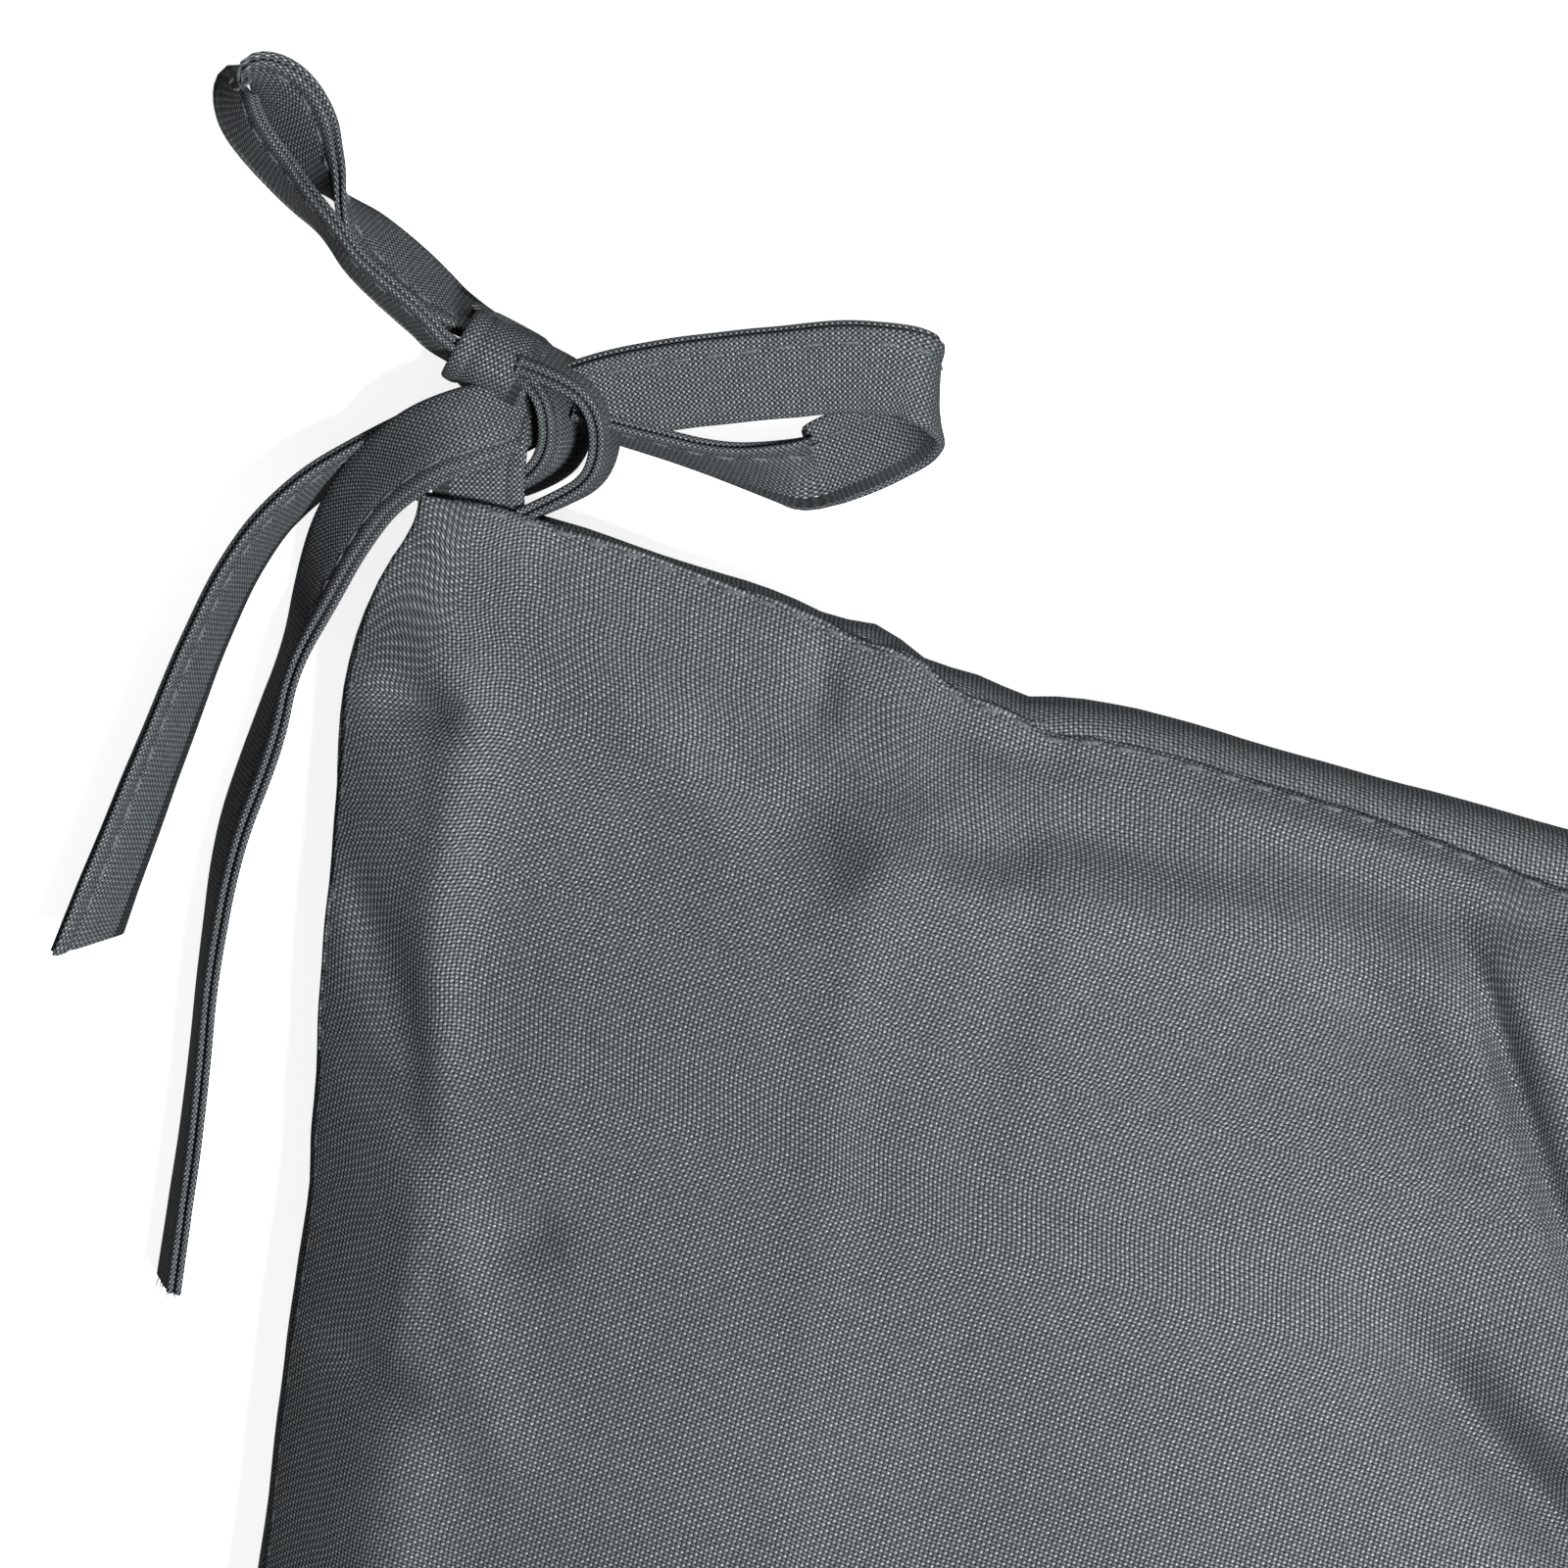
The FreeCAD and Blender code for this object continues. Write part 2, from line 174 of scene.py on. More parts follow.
def woven_cloth(name, pitch, turn, dark, light, roughness):
    """Plain weave.  pitch is the two yarn spacings in metres, turn the weave's lean in degrees.

    The mesh attribute "cloth" holds each point's place on the flat cloth, in metres.
    """
    n = Nodes(name)
    place = n.cloth_place()
    wander = n.noise(place, 140.0, 1.0)
    split = n.add("ShaderNodeSeparateXYZ")
    n.link(place, split.inputs[0])
    cosine = math.cos(math.radians(turn))
    sine = math.sin(math.radians(turn))
    flat_x, flat_y = split.outputs[0], split.outputs[1]
    across = n.maths("MULTIPLY_ADD", flat_y, sine, n.maths("MULTIPLY", flat_x, cosine))
    along = n.maths("MULTIPLY_ADD", flat_x, -sine, n.maths("MULTIPLY", flat_y, cosine))
    warp = n.maths("MULTIPLY_ADD", wander, 0.9, n.maths("DIVIDE", across, pitch[0]))
    weft = n.maths("MULTIPLY_ADD", wander, -0.7, n.maths("DIVIDE", along, pitch[1]))
    warp_number = n.maths("FLOOR", warp)
    weft_number = n.maths("FLOOR", weft)
    warp_part = n.maths("SUBTRACT", n.maths("FRACT", warp), 0.5)
    weft_part = n.maths("SUBTRACT", n.maths("FRACT", weft), 0.5)
    over = n.maths("PINGPONG", n.maths("ADD", warp_number, weft_number), 1.0)

    def float_height(near, far):
        """Height of a float from the distances to its middle, across and along its yarn."""
        steep = n.maths("MULTIPLY", n.maths("POWER", n.maths("ABSOLUTE", near), 2.0), 3.6)
        gentle = n.maths("MULTIPLY", n.maths("POWER", n.maths("ABSOLUTE", far), 2.0), 2.0)
        return n.maths("SUBTRACT", 1.0, n.maths("ADD", steep, gentle))

    lean = n.maths("MULTIPLY", n.maths("MULTIPLY", warp_part, weft_part), 1.1)
    high = n.add("ShaderNodeMix", data_type="FLOAT")
    n.feed(high.inputs["Factor"], over)
    n.feed(high.inputs["A"], n.maths("MULTIPLY", float_height(weft_part, warp_part), 0.86))
    n.feed(high.inputs["B"], n.maths("ADD", float_height(warp_part, weft_part), lean))
    height = n.maths("MAXIMUM", high.outputs["Result"], 0.0)
    under = n.maths("SUBTRACT", 1.0, over)
    yarn = n.random(n.maths("MULTIPLY", warp_number, over), n.maths("MULTIPLY", weft_number, under))
    grain = n.random(warp_number, weft_number)
    slub = n.maths("ADD", n.maths("MULTIPLY", yarn, 0.2), n.maths("MULTIPLY", grain, 0.8))
    # Painted shade and painted sheen: the colour darkens with each float's height down into the gaps
    # between yarns, and the floats that pass over are painted lighter. Slub adds each yarn's own random
    # tone.
    yarn_shade_sheen_and_tone = n.maths("MULTIPLY", n.maths("POWER", height, 1.2), n.spread(slub, 0.1, 0.9, 0.8, 1.12))
    yarn_shade_sheen_and_tone = n.maths("MULTIPLY", yarn_shade_sheen_and_tone, n.maths("MULTIPLY_ADD", over, 0.3, 0.72))
    patches = n.spread(n.noise(place, 28.0, 3.0), 0.3, 0.7, 0.94, 1.06)
    colour = n.mix(n.maths("MULTIPLY", yarn_shade_sheen_and_tone, patches), dark, light)
    fuzz = n.noise(place, 9000.0, 1.0)
    relief = n.maths("MULTIPLY_ADD", fuzz, 0.18, height)
    return n.finish(
        Base_Color=colour,
        Roughness=roughness,
        Specular_IOR_Level=n.spread(yarn_shade_sheen_and_tone, 0.15, 0.9, 0.0, 1.0),
        Normal=n.bump(relief, pitch[1] * 0.32, 1.0),
    )


def thread_material(name, colour, roughness):
    """Twisted sewing thread: fine slanted ply with a soft sheen."""
    n = Nodes(name)
    place = n.cloth_place()
    ply = n.add("ShaderNodeTexWave", wave_type="BANDS", bands_direction="DIAGONAL")
    n.feed(ply.inputs["Vector"], place)
    ply.inputs["Scale"].default_value = 900.0
    ply.inputs["Distortion"].default_value = 0.6
    # Painted shade: the thread's colour is darker in the grooves between the plies, where the bump is low.
    shade = n.mix(ply.outputs["Fac"], tuple(c * 0.55 for c in colour[:3]) + (1.0,), colour)
    return n.finish(
        Base_Color=shade,
        Roughness=roughness,
        Sheen_Weight=0.25,
        Normal=n.bump(ply.outputs["Fac"], 0.00006, 0.8),
    )


def fibre_material():
    """Loose hollow fibre: off-white and matted."""
    n = Nodes("fibre_fill")
    place = n.add("ShaderNodeTexCoord").outputs["Object"]
    matted = n.noise(place, 420.0, 6.0, 0.7)
    strands = n.noise(place, 2600.0, 3.0)
    colour = n.mix(matted, (0.72, 0.71, 0.68, 1.0), (0.9, 0.9, 0.88, 1.0))
    return n.finish(
        Base_Color=colour,
        Roughness=0.95,
        Sheen_Weight=0.4,
        Normal=n.bump(n.maths("ADD", matted, n.maths("MULTIPLY", strands, 0.4)), 0.0012, 0.9),
    )


# The darker colour of each woven cloth is painted shade in the gaps between yarns, and the lighter one is
# the colour of the yarn tops.
COVER_CLOTH = woven_cloth(
    "cover_cloth", (0.000545, 0.000445), -4.5, grey(0.02), grey(0.165), 0.42)
TIE_CLOTH = woven_cloth(
    "tie_cloth", (0.00043, 0.00043), 45.0, grey(0.012), grey(0.15), 0.42)
DARK_THREAD = thread_material("sewing_thread", grey(0.085), 0.55)
PALE_THREAD = thread_material("frayed_yarn", grey(0.2), 0.6)
FIBRE = fibre_material()


# ---- mesh helpers ---------------------------------------------------------------------------

def placed(name, data):
    """A new object in the scene."""
    obj = bpy.data.objects.new(name, data)
    SCENE.collection.objects.link(obj)
    return obj


def mesh_object(name, points, faces, cloth, materials):
    """A mesh in the row frame with its flat cloth coordinates in the attribute "cloth"."""
    mesh = bpy.data.meshes.new(name)
    mesh.from_pydata([tuple(p) for p in points], [], faces)
    mesh.update()
    attribute = mesh.attributes.new("cloth", "FLOAT_VECTOR", "POINT")
    attribute.data.foreach_set("vector", np.asarray(cloth, np.float32).ravel())
    for material in materials:
        mesh.materials.append(material)
    mesh.shade_smooth()
    return placed(name, mesh)


def grid_faces(rows, columns, start=0, closed=False):
    """Quads between the rows of a grid of points; closed joins each row's end to its start."""
    faces = []
    last = columns if closed else columns - 1
    for i in range(rows - 1):
        for j in range(last):
            k = (j + 1) % columns
            faces.append((
                start + i * columns + j, start + i * columns + k,
                start + (i + 1) * columns + k, start + (i + 1) * columns + j,
            ))
    return faces


def tube_faces(rings, sides, start):
    """Faces of a tube that is closed at both ends."""
    first = tuple(start + j for j in range(sides))
    last = tuple(start + (rings - 1) * sides + j for j in range(sides))
    return grid_faces(rings, sides, start, closed=True) + [first[::-1], last]


def smooth_line(points, steps=24):
    """Points read from one smooth NURBS spline that has the given points as control points."""
    curve = bpy.data.curves.new("route", "CURVE")
    curve.dimensions = "3D"
    curve.resolution_u = steps
    spline = curve.splines.new("NURBS")
    spline.points.add(len(points) - 1)
    for target, point in zip(spline.points, points):
        target.co = (point[0], point[1], point[2], 1.0)
    spline.order_u = 3
    spline.use_endpoint_u = True
    holder = placed("route", curve)
    line = bpy.data.meshes.new_from_object(holder)
    found = np.array([v.co[:] for v in line.vertices])
    bpy.data.objects.remove(holder)
    bpy.data.curves.remove(curve)
    bpy.data.meshes.remove(line)
    return found


def run_along(line):
    """Distance along a line of points, at each of them."""
    return np.concatenate([[0], np.cumsum(np.linalg.norm(np.diff(line, axis=0), axis=1))])


def unit(vectors):
    return vectors / np.maximum(np.linalg.norm(vectors, axis=-1, keepdims=True), 1e-12)


# ---- the pad --------------------------------------------------------------------------------

EDGE_ROLL = 0.007               # radius of the lower panel where it rolls out past the seam
ROLL_POWER = 3.2                # above 2, the roll is flatter on top than a round one
CROWN_POWER = {"rear": 3.2, "front": 3.6, "left": 3.4, "right": 3.6}
SHOULDER_POWER = 20             # the steep part of the crown beside the seam
SHOULDER_SHARE = {"rear": 0.06, "front": 0.14, "left": 0.25, "right": 0.2}
RIM_POWER = 12                  # how closely each edge's own seam height is followed beside it
TOP_CLEAR = 0.0008              # the crown's plain shape stays this far below the CAD pad's top

# How far the seam sits in from the pad's outline, in mm, at places along each side from -1 to 1.
SEAM_INSET = {
    "rear": ((-1, 0.3), (-0.8, 0.5), (-0.67, 1.7), (-0.55, 3.2), (-0.42, 3.2), (-0.3, 6),
             (0, 6.8), (0.3, 5.4), (0.55, 3.6), (0.8, 0.8), (1, 0.3)),
    "left": ((-1, 0.4), (-0.6, 2.2), (-0.2, 1), (0.3, 0.8), (0.75, 0.5), (1, 0.3)),
    "right": ((-1, 0.4), (-0.6, 2.6), (-0.1, 3.4), (0.4, 2.2), (0.75, 1.2), (1, 0.3)),
    "front": ((-1, 0.4), (-0.7, 1.6), (-0.3, 4), (0.1, 3.2), (0.5, 4.6), (0.8, 1.2), (1, 0.4)),
}

# How far the outline stands out from its plain curve, in mm, where the filling pushes it.
OUTLINE_SHIFT = {
    "rear": ((-1, 1.5), (-0.92, 1.9), (-0.86, 2), (-0.8, 1.7), (-0.74, 1.3), (-0.718, 0.4),
             (-0.69, 1.5), (-0.665, -1.5), (-0.63, -1.2), (-0.605, -2.4), (-0.59, -0.8), (-0.55, 0),
             (-0.4, -0.5), (-0.3, -0.8), (-0.1, 0.4), (0.15, -0.7), (0.4, 0.9), (0.62, -0.8), (0.84, 1.4),
             (1, 1)),
    "left": ((-1, 0.4), (-0.8, 1.6), (-0.5, 0.3), (-0.2, 1.6), (0.1, 0.6), (0.39, 1.3), (0.45, 1.7),
             (0.5, 2.1), (0.57, 1.6), (0.6, 1.4), (0.62, 2), (0.66, 2.4), (0.7, 3.1), (0.745, 3.3),
             (0.8, 3.2), (0.86, 2), (0.9, 1.2), (0.95, 0.2), (1, 0)),
    "right": ((-1, 0.4), (-0.7, 1.4), (-0.45, -0.5), (-0.1, 0.9), (0.2, -0.8), (0.55, 0.8),
              (0.8, 1.5), (1, 0.2)),
    "front": ((-1, 0.5), (-0.75, 1.5), (-0.4, -0.8), (0, 0.7), (0.35, -0.6), (0.7, 1.3), (1, 0.5)),
}
SEAM_EASE = 0.075               # share of a side over which each table's steps are smoothed
OUTLINE_EASE = 0.02


def eased(table, place, window):
    """Values in metres between those that the table gives in mm, smoothed over a share of the side."""
    places, values = zip(*table)
    half_count = 400
    fine = np.linspace(-1, 1, 2 * half_count + 1)
    reach = round(window * half_count)
    kernel = np.hanning(2 * reach + 1)
    padded = np.pad(np.interp(fine, places, values), reach, mode="edge")
    return np.interp(place, fine, np.convolve(padded, kernel / kernel.sum(), mode="valid")) * MM


def along_side(side, place):
    """Seam inset at a place along a side."""
    return eased(SEAM_INSET[side], place, SEAM_EASE)


def ripple(place, seed, size):
    """Small unevenness along a seam, in metres."""
    flat = np.atleast_1d(place)
    values = [
        noise.noise((float(p) * 9.0, seed, 0.0)) + 0.5 * noise.noise((float(p) * 24.0, seed, 4.0))
        for p in flat.ravel()
    ]
    return np.array(values).reshape(flat.shape) * size


def half_width(side, place):
    """Distance from the pad's middle to its outline, at a place from -1 to 1 along the side."""
    plain = HALF_SIDE - SIDE_PULL * (1 - place ** 2)
    return plain + eased(OUTLINE_SHIFT[side], place, OUTLINE_EASE) + ripple(place, len(side), 0.0004)


def roll_start(inset):
    """Angle round the lower panel's roll at which the seam sits."""
    return np.arccos(np.clip((EDGE_ROLL - inset) / EDGE_ROLL, 0, 1) ** (ROLL_POWER / 2))


def seam_height(inset):
    return EDGE_ROLL + EDGE_ROLL * np.sin(roll_start(inset)) ** (2 / ROLL_POWER)


def side_values(negative, positive, sign):
    return np.where(sign < 0, negative, positive)


def pull_corners(x, y):
    """The corners are blunt, because the turned-in cloth fills them, and the side swells beside them."""
    pull_x, pull_y, pull_reach = 0.0036, 0.0014, 0.008
    swell, swell_place, swell_wide, swell_long = 0.0018, 0.177, 0.02, 0.011
    for sx in (-1, 1):
        for sy in (-1, 1):
            far = np.hypot(x - sx * HALF_SIDE, y - sy * HALF_SIDE)
            near = np.exp(-(far / pull_reach) ** 2)
            x = x - sx * pull_x * near
            y = y - sy * pull_y * near
            off_side = (x - sx * HALF_SIDE) / swell_wide
            off_place = (y - sy * swell_place) / swell_long
            x = x + sx * swell * np.exp(-off_side ** 2 - off_place ** 2)
    return x, y


def crown_share(place, negative, positive):
    """Share of the crown's height at a place from -1 to 1: a broad dome with a steeper shoulder."""
    broad = np.abs(place) ** side_values(CROWN_POWER[negative], CROWN_POWER[positive], place)
    shoulder = side_values(SHOULDER_SHARE[negative], SHOULDER_SHARE[positive], place)
    return 1 - (1 - shoulder) * broad - shoulder * np.abs(place) ** SHOULDER_POWER


def sides_at(a, b):
    """Seam insets across and along the pad, and outline distances, for grid places a and b."""
    found = []
    for at in (along_side, half_width):
        found.append(side_values(at("left", b), at("right", b), a))
        found.append(side_values(at("front", a), at("rear", a), b))
    return found


def top_panel(a, b):
    """Points of the upper panel for grid places a and b, each from -1 to 1."""
    inset_x, inset_y, reach_x, reach_y = sides_at(a, b)
    x, y = pull_corners(a * (reach_x - inset_x), b * (reach_y - inset_y))
    share_x = crown_share(a, "left", "right")
    share_y = crown_share(b, "front", "rear")
    weight_x = np.abs(a) ** RIM_POWER + 1e-6
    weight_y = np.abs(b) ** RIM_POWER + 1e-6
    rim = (seam_height(inset_x) * weight_x + seam_height(inset_y) * weight_y) / (weight_x + weight_y)
    crown = PAD_TOP - TOP_CLEAR - rim
    return np.stack([x, y, rim + crown * share_x * share_y], -1)


def roll_profile(distance, inset):
    """Inset and height of the lower panel at a cloth distance in from the seam."""
    start = roll_start(inset)
    arc = EDGE_ROLL * (start + math.pi / 2)
    angle = np.maximum(start - distance / EDGE_ROLL, -math.pi / 2)
    bend = np.where(angle > 0, 2 / ROLL_POWER, 1.0)
    inwards = EDGE_ROLL - EDGE_ROLL * np.cos(angle) ** bend + np.maximum(distance - arc, 0)
    return inwards, EDGE_ROLL + EDGE_ROLL * np.sign(angle) * np.abs(np.sin(angle)) ** bend


def low_panel(a, b):
    """Points of the lower panel: it rolls out past the seam, then lies flat."""
    inset_x, inset_y, reach_x, reach_y = sides_at(a, b)
    arc_x = EDGE_ROLL * (roll_start(inset_x) + math.pi / 2)
    arc_y = EDGE_ROLL * (roll_start(inset_y) + math.pi / 2)
    in_x, z_x = roll_profile((1 - np.abs(a)) * (reach_x - EDGE_ROLL + arc_x), inset_x)
    in_y, z_y = roll_profile((1 - np.abs(b)) * (reach_y - EDGE_ROLL + arc_y), inset_y)
    x, y = pull_corners(np.sign(a) * (reach_x - in_x), np.sign(b) * (reach_y - in_y))
    part_x = z_x / seam_height(inset_x)
    part_y = z_y / seam_height(inset_y)
    rim = seam_height(inset_x) * part_x + seam_height(inset_y) * part_y
    rim = (rim + 1e-9) / (part_x + part_y + 1e-6)
    return np.stack([x, y, rim * (1 - (1 - part_x) * (1 - part_y))], -1)


def grid_lines(spacing, edge_lines):
    """Places from -1 to 1: even lines in the middle and the given closer ones at both edges, in mm."""
    half = HALF_SIDE / MM
    edge = [1 - e / half for e in edge_lines]
    count = round(2 * edge[-1] * half / spacing)
    inner = np.linspace(-edge[-1], edge[-1], count + 1)
    return np.concatenate([-np.array(edge[:-1]), inner, np.array(edge[:-1])[::-1]])


# Folds of the upper panel, each (points, depth, width): plan points from the left tie's root, in
# the tie's mm; depth is down, negative stands up; width is the fold's half width.
CORNER_FOLDS = (
    (((38.5, -13), (39.8, -18), (38, -23.5)), 1.5, 2.4),
    (((33.5, -30), (38, -36), (42.5, -42)), 1.2, 5.5),
    (((24, -22), (30, -30), (36, -40)), 0.9, 4),
    (((48.5, -19.5), (54, -24.5), (62, -28), (74, -28.8)), 1.3, 2.2),
    (((50.5, -35.5), (57, -39.5), (64, -37)), 1.2, 4.4),
    (((64, -32), (68, -37), (82, -44)), 1.2, 4.5),
    (((84, -32), (96, -35.2), (111, -40.2), (122, -43.5)), -1.7, 3.2),
    (((88, -37), (104, -43), (122, -47)), 1.3, 2.8),
    (((107, -44.5), (111.6, -49.8), (114.4, -59), (121.8, -80), (128, -98)), 1.8, 1.7),
    (((112, -42), (117.5, -52), (124, -70)), -1.2, 3.6),
    (((95, -47), (101, -55), (113, -74)), 1, 4.5),
    (((100, -86), (110, -98), (124, -114), (138, -128)), 2.4, 5.5),
    (((112, -90), (124, -103), (136, -114)), -1.2, 6),
    (((-13.5, -21), (-7, -21.5), (-1.5, -24.5)), 1.7, 2.4),
    (((-12.5, -13), (-5, -15.5), (0.5, -20), (0, -28)), -1, 3.4),
    (((-1, -81.5), (5, -80.6), (10, -80)), 0.8, 3.4),
    (((-17, -42), (-11, -47), (-8, -60), (-3.5, -78)), 1.4, 4),
    (((-18.5, -60), (-12, -64), (-6, -70)), 0.7, 2.2),
    (((-21, -94), (-13, -96.5), (-7, -100)), 1.2, 3),
    (((6.3, -12.1), (21.7, -25.9), (37.2, -40.5), (49.2, -39.6), (63, -43), (81.9, -46.5)), -1.1, 6),
    (((10, -7.4), (14.9, -10.4), (28.6, -19), (42.3, -29.3), (59.5, -32.7)), 0.8, 5),
    (((-5.8, -8.4), (-5.2, -14), (-1.6, -25.9), (-5.8, -49.9), (-4.1, -80.9), (2.8, -104.9)), -1, 4.2),
    (((-16, -40), (-12.5, -46), (-12.8, -54)), 0.9, 2.6),
)
FOLD_SCALE = 2.3                # how much deeper each fold is pressed than its listed depth


def fold_shift(x, y, folds):
    """How far down the folds press each point of the panel, in metres."""
    down = np.zeros_like(x)
    for line, depth, width in folds:
        points = smooth_line([(px, py, 0.0) for px, py in line], 8)
        flat = points[:, :1] * np.array(TIE_ACROSS)[:2] + points[:, 1:2] * np.array(TIE_ALONG)[:2]
        flat = flat * MM + np.array(TIE_ROOT)[:2]
        nearest = np.full(x.shape, 1e9)
        where = np.zeros(x.shape)
        for number in range(len(flat) - 1):
            start, step = flat[number], flat[number + 1] - flat[number]
            t = np.clip(((x - start[0]) * step[0] + (y - start[1]) * step[1]) / (step @ step), 0, 1)
            far = np.hypot(x - start[0] - t * step[0], y - start[1] - t * step[1])
            where = np.where(far < nearest, (number + t) / (len(flat) - 1), where)
            nearest = np.minimum(far, nearest)
        fade = np.sin(np.pi * np.clip(where * 0.9 + 0.05, 0, 1)) ** 0.7
        down += FOLD_SCALE * depth * MM * fade / (1 + (nearest / (width * MM)) ** 2) ** 1.5
    return down


def other_folds():
    """Puckers that start at the seams and fade inwards, as (points, depth, width) in row mm."""
    draw = random.Random(7)
    folds = []
    span = 2 * HALF_SIDE / MM
    corner = 18.0
    seam_gap = 11.0
    for side in range(4):
        place = corner
        while place < span - corner:
            length = draw.uniform(14, 46)
            lean = draw.uniform(-0.6, 0.6)
            bend = draw.uniform(-5, 5)
            depth = draw.uniform(0.5, 1.9) * (1 if draw.random() < 0.72 else -0.8)
            width = draw.uniform(2.0, 4.4)
            points = []
            for t in (0.02, 0.35, 0.7, 1.0):
                u = place + lean * length * t + bend * t * t - span / 2
                v = span / 2 - seam_gap - length * t
                points.append(((u, v), (v, -u), (-u, -v), (-v, u))[side])
            folds.append((points, depth, width))
            place += draw.uniform(9, 26)
    return folds


def row_to_tie(x, y):
    """Plan places in the row frame, as places across and along the left tie in its mm."""
    x = x - TIE_ROOT.x
    y = y - TIE_ROOT.y
    return (x * TIE_ACROSS.x + y * TIE_ACROSS.y) / MM, (x * TIE_ALONG.x + y * TIE_ALONG.y) / MM


def in_main_view(points):
    """True if a fold starts in the corner whose folds are listed one by one."""
    px, py = points[0]
    return px < -40 and py > 60


LUMP_HEIGHT = 0.0016
STUFFING_CAP = 0.0022           # the most that the simulation moves a point of the cloth
TOP_LIMIT = 0.004               # the most that the cloth stands above the CAD pad


def lumps(x, y):
    """Uneven filling under the cloth, in metres."""
    values = [
        noise.noise((px * 14.0, py * 14.0, 1.7)) + 0.45 * noise.noise((px * 38.0, py * 38.0, 8.1))
        for px, py in zip(x.ravel(), y.ravel())
    ]
    return np.array(values).reshape(x.shape) * LUMP_HEIGHT


def stuffed(panel):
    """Blow the upper panel up as cloth with its seam held, and give each point's movement."""
    rows, columns = panel.shape[:2]
    points = panel.reshape(-1, 3)
    obj = mesh_object("cloth_trial", points, grid_faces(rows, columns), points, [])
    ring = obj.vertex_groups.new(name="seam")
    slack = obj.vertex_groups.new(name="slack")
    for i in range(rows):
        for j in range(columns):
            edge = min(i, j, rows - 1 - i, columns - 1 - j)
            if edge == 0:
                ring.add([i * columns + j], 1.0, "REPLACE")
            slack.add([i * columns + j], math.exp(-(edge / 7.0) ** 2), "REPLACE")
    bpy.context.view_layer.objects.active = obj
    modifier = obj.modifiers.new("Cloth", "CLOTH")
    cloth = modifier.settings
    cloth.quality = 6
    cloth.mass = 0.15
    cloth.tension_stiffness = cloth.compression_stiffness = 25
    cloth.shear_stiffness = 12
    cloth.bending_stiffness = 0.25
    cloth.air_damping = 4
    cloth.use_pressure = True
    cloth.uniform_pressure_force = 1.6
    cloth.vertex_group_mass = "seam"
    cloth.vertex_group_shrink = "slack"
    cloth.shrink_min = 0.0
    cloth.shrink_max = -0.03
    cloth.effector_weights.gravity = 0
    modifier.collision_settings.use_collision = False
    for number in range(1, 25):
        SCENE.frame_set(number)
    graph = bpy.context.evaluated_depsgraph_get()
    result = obj.evaluated_get(graph).to_mesh()
    moved = np.empty(len(points) * 3, np.float32)
    result.vertices.foreach_get("co", moved)
    moved = moved.reshape(-1, 3) - points
    SCENE.frame_set(1)
    bpy.data.objects.remove(obj)
    size = np.linalg.norm(moved, axis=1, keepdims=True)
    moved *= STUFFING_CAP * np.tanh(size / STUFFING_CAP) / np.maximum(size, 1e-9)
    return moved.reshape(rows, columns, 3)


def resample(field, old_a, old_b, new_a, new_b):
    """Values of a field on a grid of lines, at new lines."""
    first = np.apply_along_axis(lambda line: np.interp(new_a, old_a, line), 0, field)
    return np.apply_along_axis(lambda line: np.interp(new_b, old_b, line), 1, first)


def cloth_lengths(panel):
    """Place of each grid point on the flat cloth: distance along the two families of grid lines."""
    middle = panel.shape[0] // 2
    step_a = np.linalg.norm(np.diff(panel, axis=0), axis=2)
    step_b = np.linalg.norm(np.diff(panel, axis=1), axis=2)
    run_a = np.concatenate([np.zeros((1, panel.shape[1])), np.cumsum(step_a, 0)])
    run_b = np.concatenate([np.zeros((panel.shape[0], 1)), np.cumsum(step_b, 1)], 1)
    run_a -= run_a[middle:middle + 1]
    run_b -= run_b[:, middle:middle + 1]
    return np.stack([run_a, run_b, np.zeros_like(run_a)], -1)


def sheet_object(name, panel, material, upwards):
    """A panel of cloth with real thickness, from its grid of points."""
    rows, columns = panel.shape[:2]
    faces = grid_faces(rows, columns)
    if upwards:
        faces = [face[::-1] for face in faces]
    obj = mesh_object(name, panel.reshape(-1, 3), faces, cloth_lengths(panel).reshape(-1, 3), [material])
    thick = obj.modifiers.new("cloth_thickness", "SOLIDIFY")
    thick.thickness = CLOTH
    thick.offset = -1.0
    return obj


# Grid lines of the panels, in mm from the edge and between lines.
EDGE_LINES = (0.0, 0.7, 1.5, 2.4, 3.5, 4.8, 6.2, 7.8, 9.6)
EVEN_LINES = grid_lines(2.4, EDGE_LINES)
CLOSE_LINES = grid_lines(1.3, EDGE_LINES)       # for the corner that the main view shows
CLOSE_FROM_A, CLOSE_FROM_B = -0.25, 0.2         # places where the closer lines take over
LINES_A = np.concatenate([CLOSE_LINES[CLOSE_LINES < CLOSE_FROM_A], EVEN_LINES[EVEN_LINES >= CLOSE_FROM_A]])
LINES_B = np.concatenate([EVEN_LINES[EVEN_LINES <= CLOSE_FROM_B], CLOSE_LINES[CLOSE_LINES > CLOSE_FROM_B]])
A, B = np.meshgrid(LINES_A, LINES_B, indexing="ij")
top = top_panel(A, B)
coarse = np.linspace(-1, 1, 111)
trial = top_panel(*np.meshgrid(coarse, coarse, indexing="ij"))
top = top + resample(stuffed(trial), coarse, coarse, LINES_A, LINES_B)
folds = list(CORNER_FOLDS)
for line, depth, width in other_folds():
    if not in_main_view(line):
        folds.append(([row_to_tie(u * MM, v * MM) for u, v in line], depth, width))
inside = (1 - np.abs(A) ** 24) * (1 - np.abs(B) ** 24)
top[..., 2] -= fold_shift(top[..., 0], top[..., 1], folds) * inside
top[..., 2] += lumps(top[..., 0], top[..., 1]) * inside
top[..., 2] = np.minimum(top[..., 2], PAD_TOP + TOP_LIMIT)

